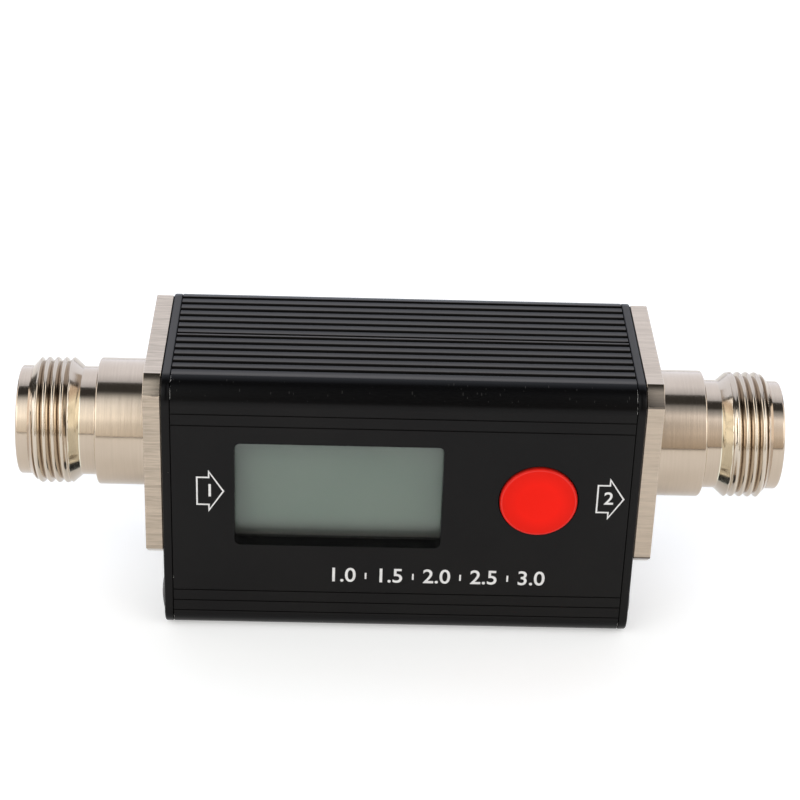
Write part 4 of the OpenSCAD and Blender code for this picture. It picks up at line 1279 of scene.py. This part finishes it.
def arrowCorners(x):
    z, base, tip = ink["arrowZ"], x + ink["tail"], x + ink["tail"] + ink["head"]
    low, high = z - ink["tailHalf"], z + ink["tailHalf"]
    return [(x, low), (base, low), (base, z - ink["headHalf"]), (tip, z), (base, z + ink["headHalf"]),
            (base, high), (x, high)]


def makeNumber(name, words, size, x, z):
    curve = bpy.data.curves.new(name, "FONT")
    curve.body = words
    curve.size = size * mm
    curve.align_x = "CENTER"
    curve.align_y = "CENTER"
    curve.extrude = inkHeight / 2 * mm
    curve.offset = ink["swell"] * mm
    text = addPiece(name, curve)
    mesh = evaluatedMesh(text)
    bpy.data.objects.remove(text)
    piece = movePiece(addPiece(name, mesh), (x, inkDepth, z), quarterTurn, "X")
    faceOutwards(mesh)
    return piece


for end, (words, x) in ink["marks"].items():
    arrow = strokeLoop("arrow", arrowCorners(ink["arrowX"][end]), ink["stroke"])
    mark = makeNumber("mark", words, ink["markSize"], x, ink["arrowZ"])
    cover(joinPieces(end + "ArrowPrint", [arrow, mark]), whiteInk)

numbers = [makeNumber("number", words, ink["scaleSize"], ink["scaleFrom"] + i * ink["scaleStep"],
                      ink["scaleZ"]) for i, words in enumerate(ink["scaleWords"])]
scalePrint = joinPieces("scalePrint", numbers)
runTree(scalePrint, tickTree, whiteInk, {
    "First tick": (ink["scaleFrom"] + ink["scaleStep"] / 2, inkDepth, ink["scaleZ"]),
    "Tick step": (ink["scaleStep"], 0, 0), "Tick size": (ink["tickWidth"], inkHeight, ink["tickHeight"])},
    {"Tick count": len(ink["scaleWords"]) - 1})
cover(scalePrint, whiteInk)
print("print: 2 arrows and a row of numbers")


# Finishes of the CAD nodes

for node, slot in slotOf.items():
    for holder in frame["nodes"][node].material_slots:
        holder.material = finishes[slot]
print("finishes:", len(finishes) + 1)


# Floor, light and camera

def both(value):
    return {end: value for end in sides}


white = (1, 1, 1)
cool = (0.8, 0.86, 1)
studio = {
    "floorSize": 8, "floorColour": (0.8, 0.8, 0.79), "floorRoughness": 0.9, "floorGlow": 0.25,
    "floorLift": 0.14, "worldGlow": 0.05,
    # direction in degrees (0 front, 90 up, 180 back), distance and place across in metres, and how the glow
    # changes from the lower edge to the upper one as (share of the height, share of the glow)
    "front": {"direction": 42, "distance": 1.3, "height": 2.24, "reach": 1.6, "gap": {"in": 0.13, "out": 0.2},
              "glow": 1.85, "lowTint": {"in": (1.05, 1, 0.9), "out": (1.17, 1, 0.8)},
              "highTint": {"in": (0.93, 1, 1.07), "out": (0.92, 1, 1.12)},
              "levels": {"in": ((0, 0.5), (0.18, 0.58), (0.31, 0.68), (0.43, 0.95), (0.65, 0.83),
                                (0.79, 0.58), (0.95, 0.11), (1, 0.03)),
                         "out": ((0, 0.25), (0.16, 0.33), (0.29, 0.39), (0.36, 0.48), (0.52, 0.51),
                                 (0.69, 0.7), (0.83, 0.33), (1, 0.08))}},
    "back": {"direction": 141.5, "distance": 1.5, "height": 2.35, "reach": 1.6, "gap": both(0), "glow": 1.5,
             "lowTint": both(cool), "highTint": both(cool), "levels": both(((0, 1), (0.69, 0.87), (1, 0.5)))},
    "wing": {"azimuth": 50, "elevation": 25, "distance": 1.2, "width": 0.45, "height": 0.9, "glow": 1.4},
    "side": {"azimuth": 90, "elevation": 20, "distance": 1.6, "width": 1.4, "height": 1.4, "glow": 1.8},
}


def towards(azimuth, elevation):
    # azimuth 0 is the front
    return Vector((math.sin(azimuth) * math.cos(elevation), -math.cos(azimuth) * math.cos(elevation),
                   math.sin(elevation)))


def addSoftbox(name, spot, aim, width, height, glow, shades=((0, white), (1, white))):
    # shades are colours at shares of the height, from the lower edge to the upper one
    lamp = bpy.data.lights.new(name, "AREA")
    lamp.shape = "RECTANGLE"
    lamp.size = width
    lamp.size_y = height
    lamp.energy = glow * math.pi * width * height
    lamp.use_nodes = True
    tree = lamp.node_tree
    _, upwards, _ = split(Field(tree, addNode(tree, "ShaderNodeNewGeometry").outputs["Parametric"]))
    blend = addNode(tree, "ShaderNodeValToRGB")
    feed(tree, upwards, blend.inputs[0])
    stops = blend.color_ramp.elements
    for share, colour in shades[1:-1]:
        stops.new(share).color = (*colour, 1)
    for stop, (_, colour) in ((stops[0], shades[0]), (stops[-1], shades[-1])):
        stop.color = (*colour, 1)
    tree.links.new(blend.outputs["Color"], tree.nodes["Emission"].inputs["Color"])
    holder = addPiece(name, lamp)
    holder.location = spot
    holder.rotation_euler = aim.to_track_quat("-Z", "Y").to_euler()
    holder.visible_camera = False


def addHalves(name, box):
    # a softbox in two halves, with a gap for the camera between them
    away = towards(0, math.radians(box["direction"]))
    for end, side in sides.items():
        width = box["reach"] - box["gap"][end]
        spot = away * box["distance"] + Vector((side * (box["gap"][end] + width / 2), 0, axisHeight * mm))
        low, high = Vector(box["lowTint"][end]), Vector(box["highTint"][end])
        shades = [(share, low.lerp(high, share) * level) for share, level in box["levels"][end]]
        addSoftbox(end + name, spot, -away, width, box["height"], box["glow"], shades)


def addPair(name, box):
    # the same softbox on the left and on the right, each aimed at the object
    for end, side in sides.items():
        away = towards(side * math.radians(box["azimuth"]), math.radians(box["elevation"]))
        addSoftbox(end + name, away * box["distance"], -away, box["width"], box["height"], box["glow"])


def seenDirectly(tree):
    # camera rays, and camera, glossy and transmission rays together
    path = addNode(tree, "ShaderNodeLightPath").outputs
    camera, glossy, through = (Field(tree, path["Is " + ray + " Ray"])
                               for ray in ("Camera", "Glossy", "Transmission"))
    return camera, calc(tree, "MAXIMUM", calc(tree, "MAXIMUM", camera, glossy), through)


def makeFloor():
    half = studio["floorSize"] / 2 / mm
    floor = makePiece("studioFloor", [(u * half, v * half, 0) for u, v in squareCorners], [(0, 1, 2, 3)])
    material = bpy.data.materials.new("paleFloor")
    material.use_nodes = True
    tree, entries = material.node_tree, shaderOf(material).inputs
    feed(tree, studio["floorColour"], entries["Base Color"])
    feed(tree, studio["floorRoughness"], entries["Roughness"])
    feed(tree, white, entries["Emission Color"])
    camera, seen = seenDirectly(tree)
    feed(tree, seen * studio["floorGlow"] + camera * studio["floorLift"], entries["Emission Strength"])
    floor.data.materials.append(material)


def makeWorld():
    world = bpy.data.worlds.new("studio")
    bpy.context.scene.world = world
    world.use_nodes = True
    tree = world.node_tree
    camera, _ = seenDirectly(tree)
    glow = tree.nodes["Background"].inputs
    feed(tree, white, glow["Color"])
    feed(tree, mix(tree, "FLOAT", camera, studio["worldGlow"], 1.0), glow["Strength"])


addHalves("Front", studio["front"])
addHalves("Back", studio["back"])
addPair("Wing", studio["wing"])
addPair("Side", studio["side"])
makeFloor()
makeWorld()
bpy.context.scene.view_settings.view_transform = "Standard"

view = {"lens": 103.325, "sensor": 36, "clipStart": 0.01, "azimuth": -1.5925, "elevation": 29.488,
        "roll": 2.0361, "distance": 289.0877, "target": (-0.1723, 0, 26.6019)}


def addCamera():
    azimuth, elevation, roll = (math.radians(view[key]) for key in ("azimuth", "elevation", "roll"))
    back = towards(azimuth, elevation)
    level = Vector((math.cos(azimuth), math.sin(azimuth), 0))
    upright = back.cross(level)
    right = level * math.cos(roll) + upright * math.sin(roll)
    up = upright * math.cos(roll) - level * math.sin(roll)
    spot = (Vector(view["target"]) + back * view["distance"]) * mm
    data = bpy.data.cameras.new("camera")
    data.lens = view["lens"]
    data.sensor_width = view["sensor"]
    data.clip_start = view["clipStart"]
    camera = addPiece("camera", data)
    camera.matrix_world = Matrix.Translation(spot) @ Matrix((right, up, back)).transposed().to_4x4()
    bpy.context.scene.camera = camera


addCamera()
print("floor, lamps and camera placed")
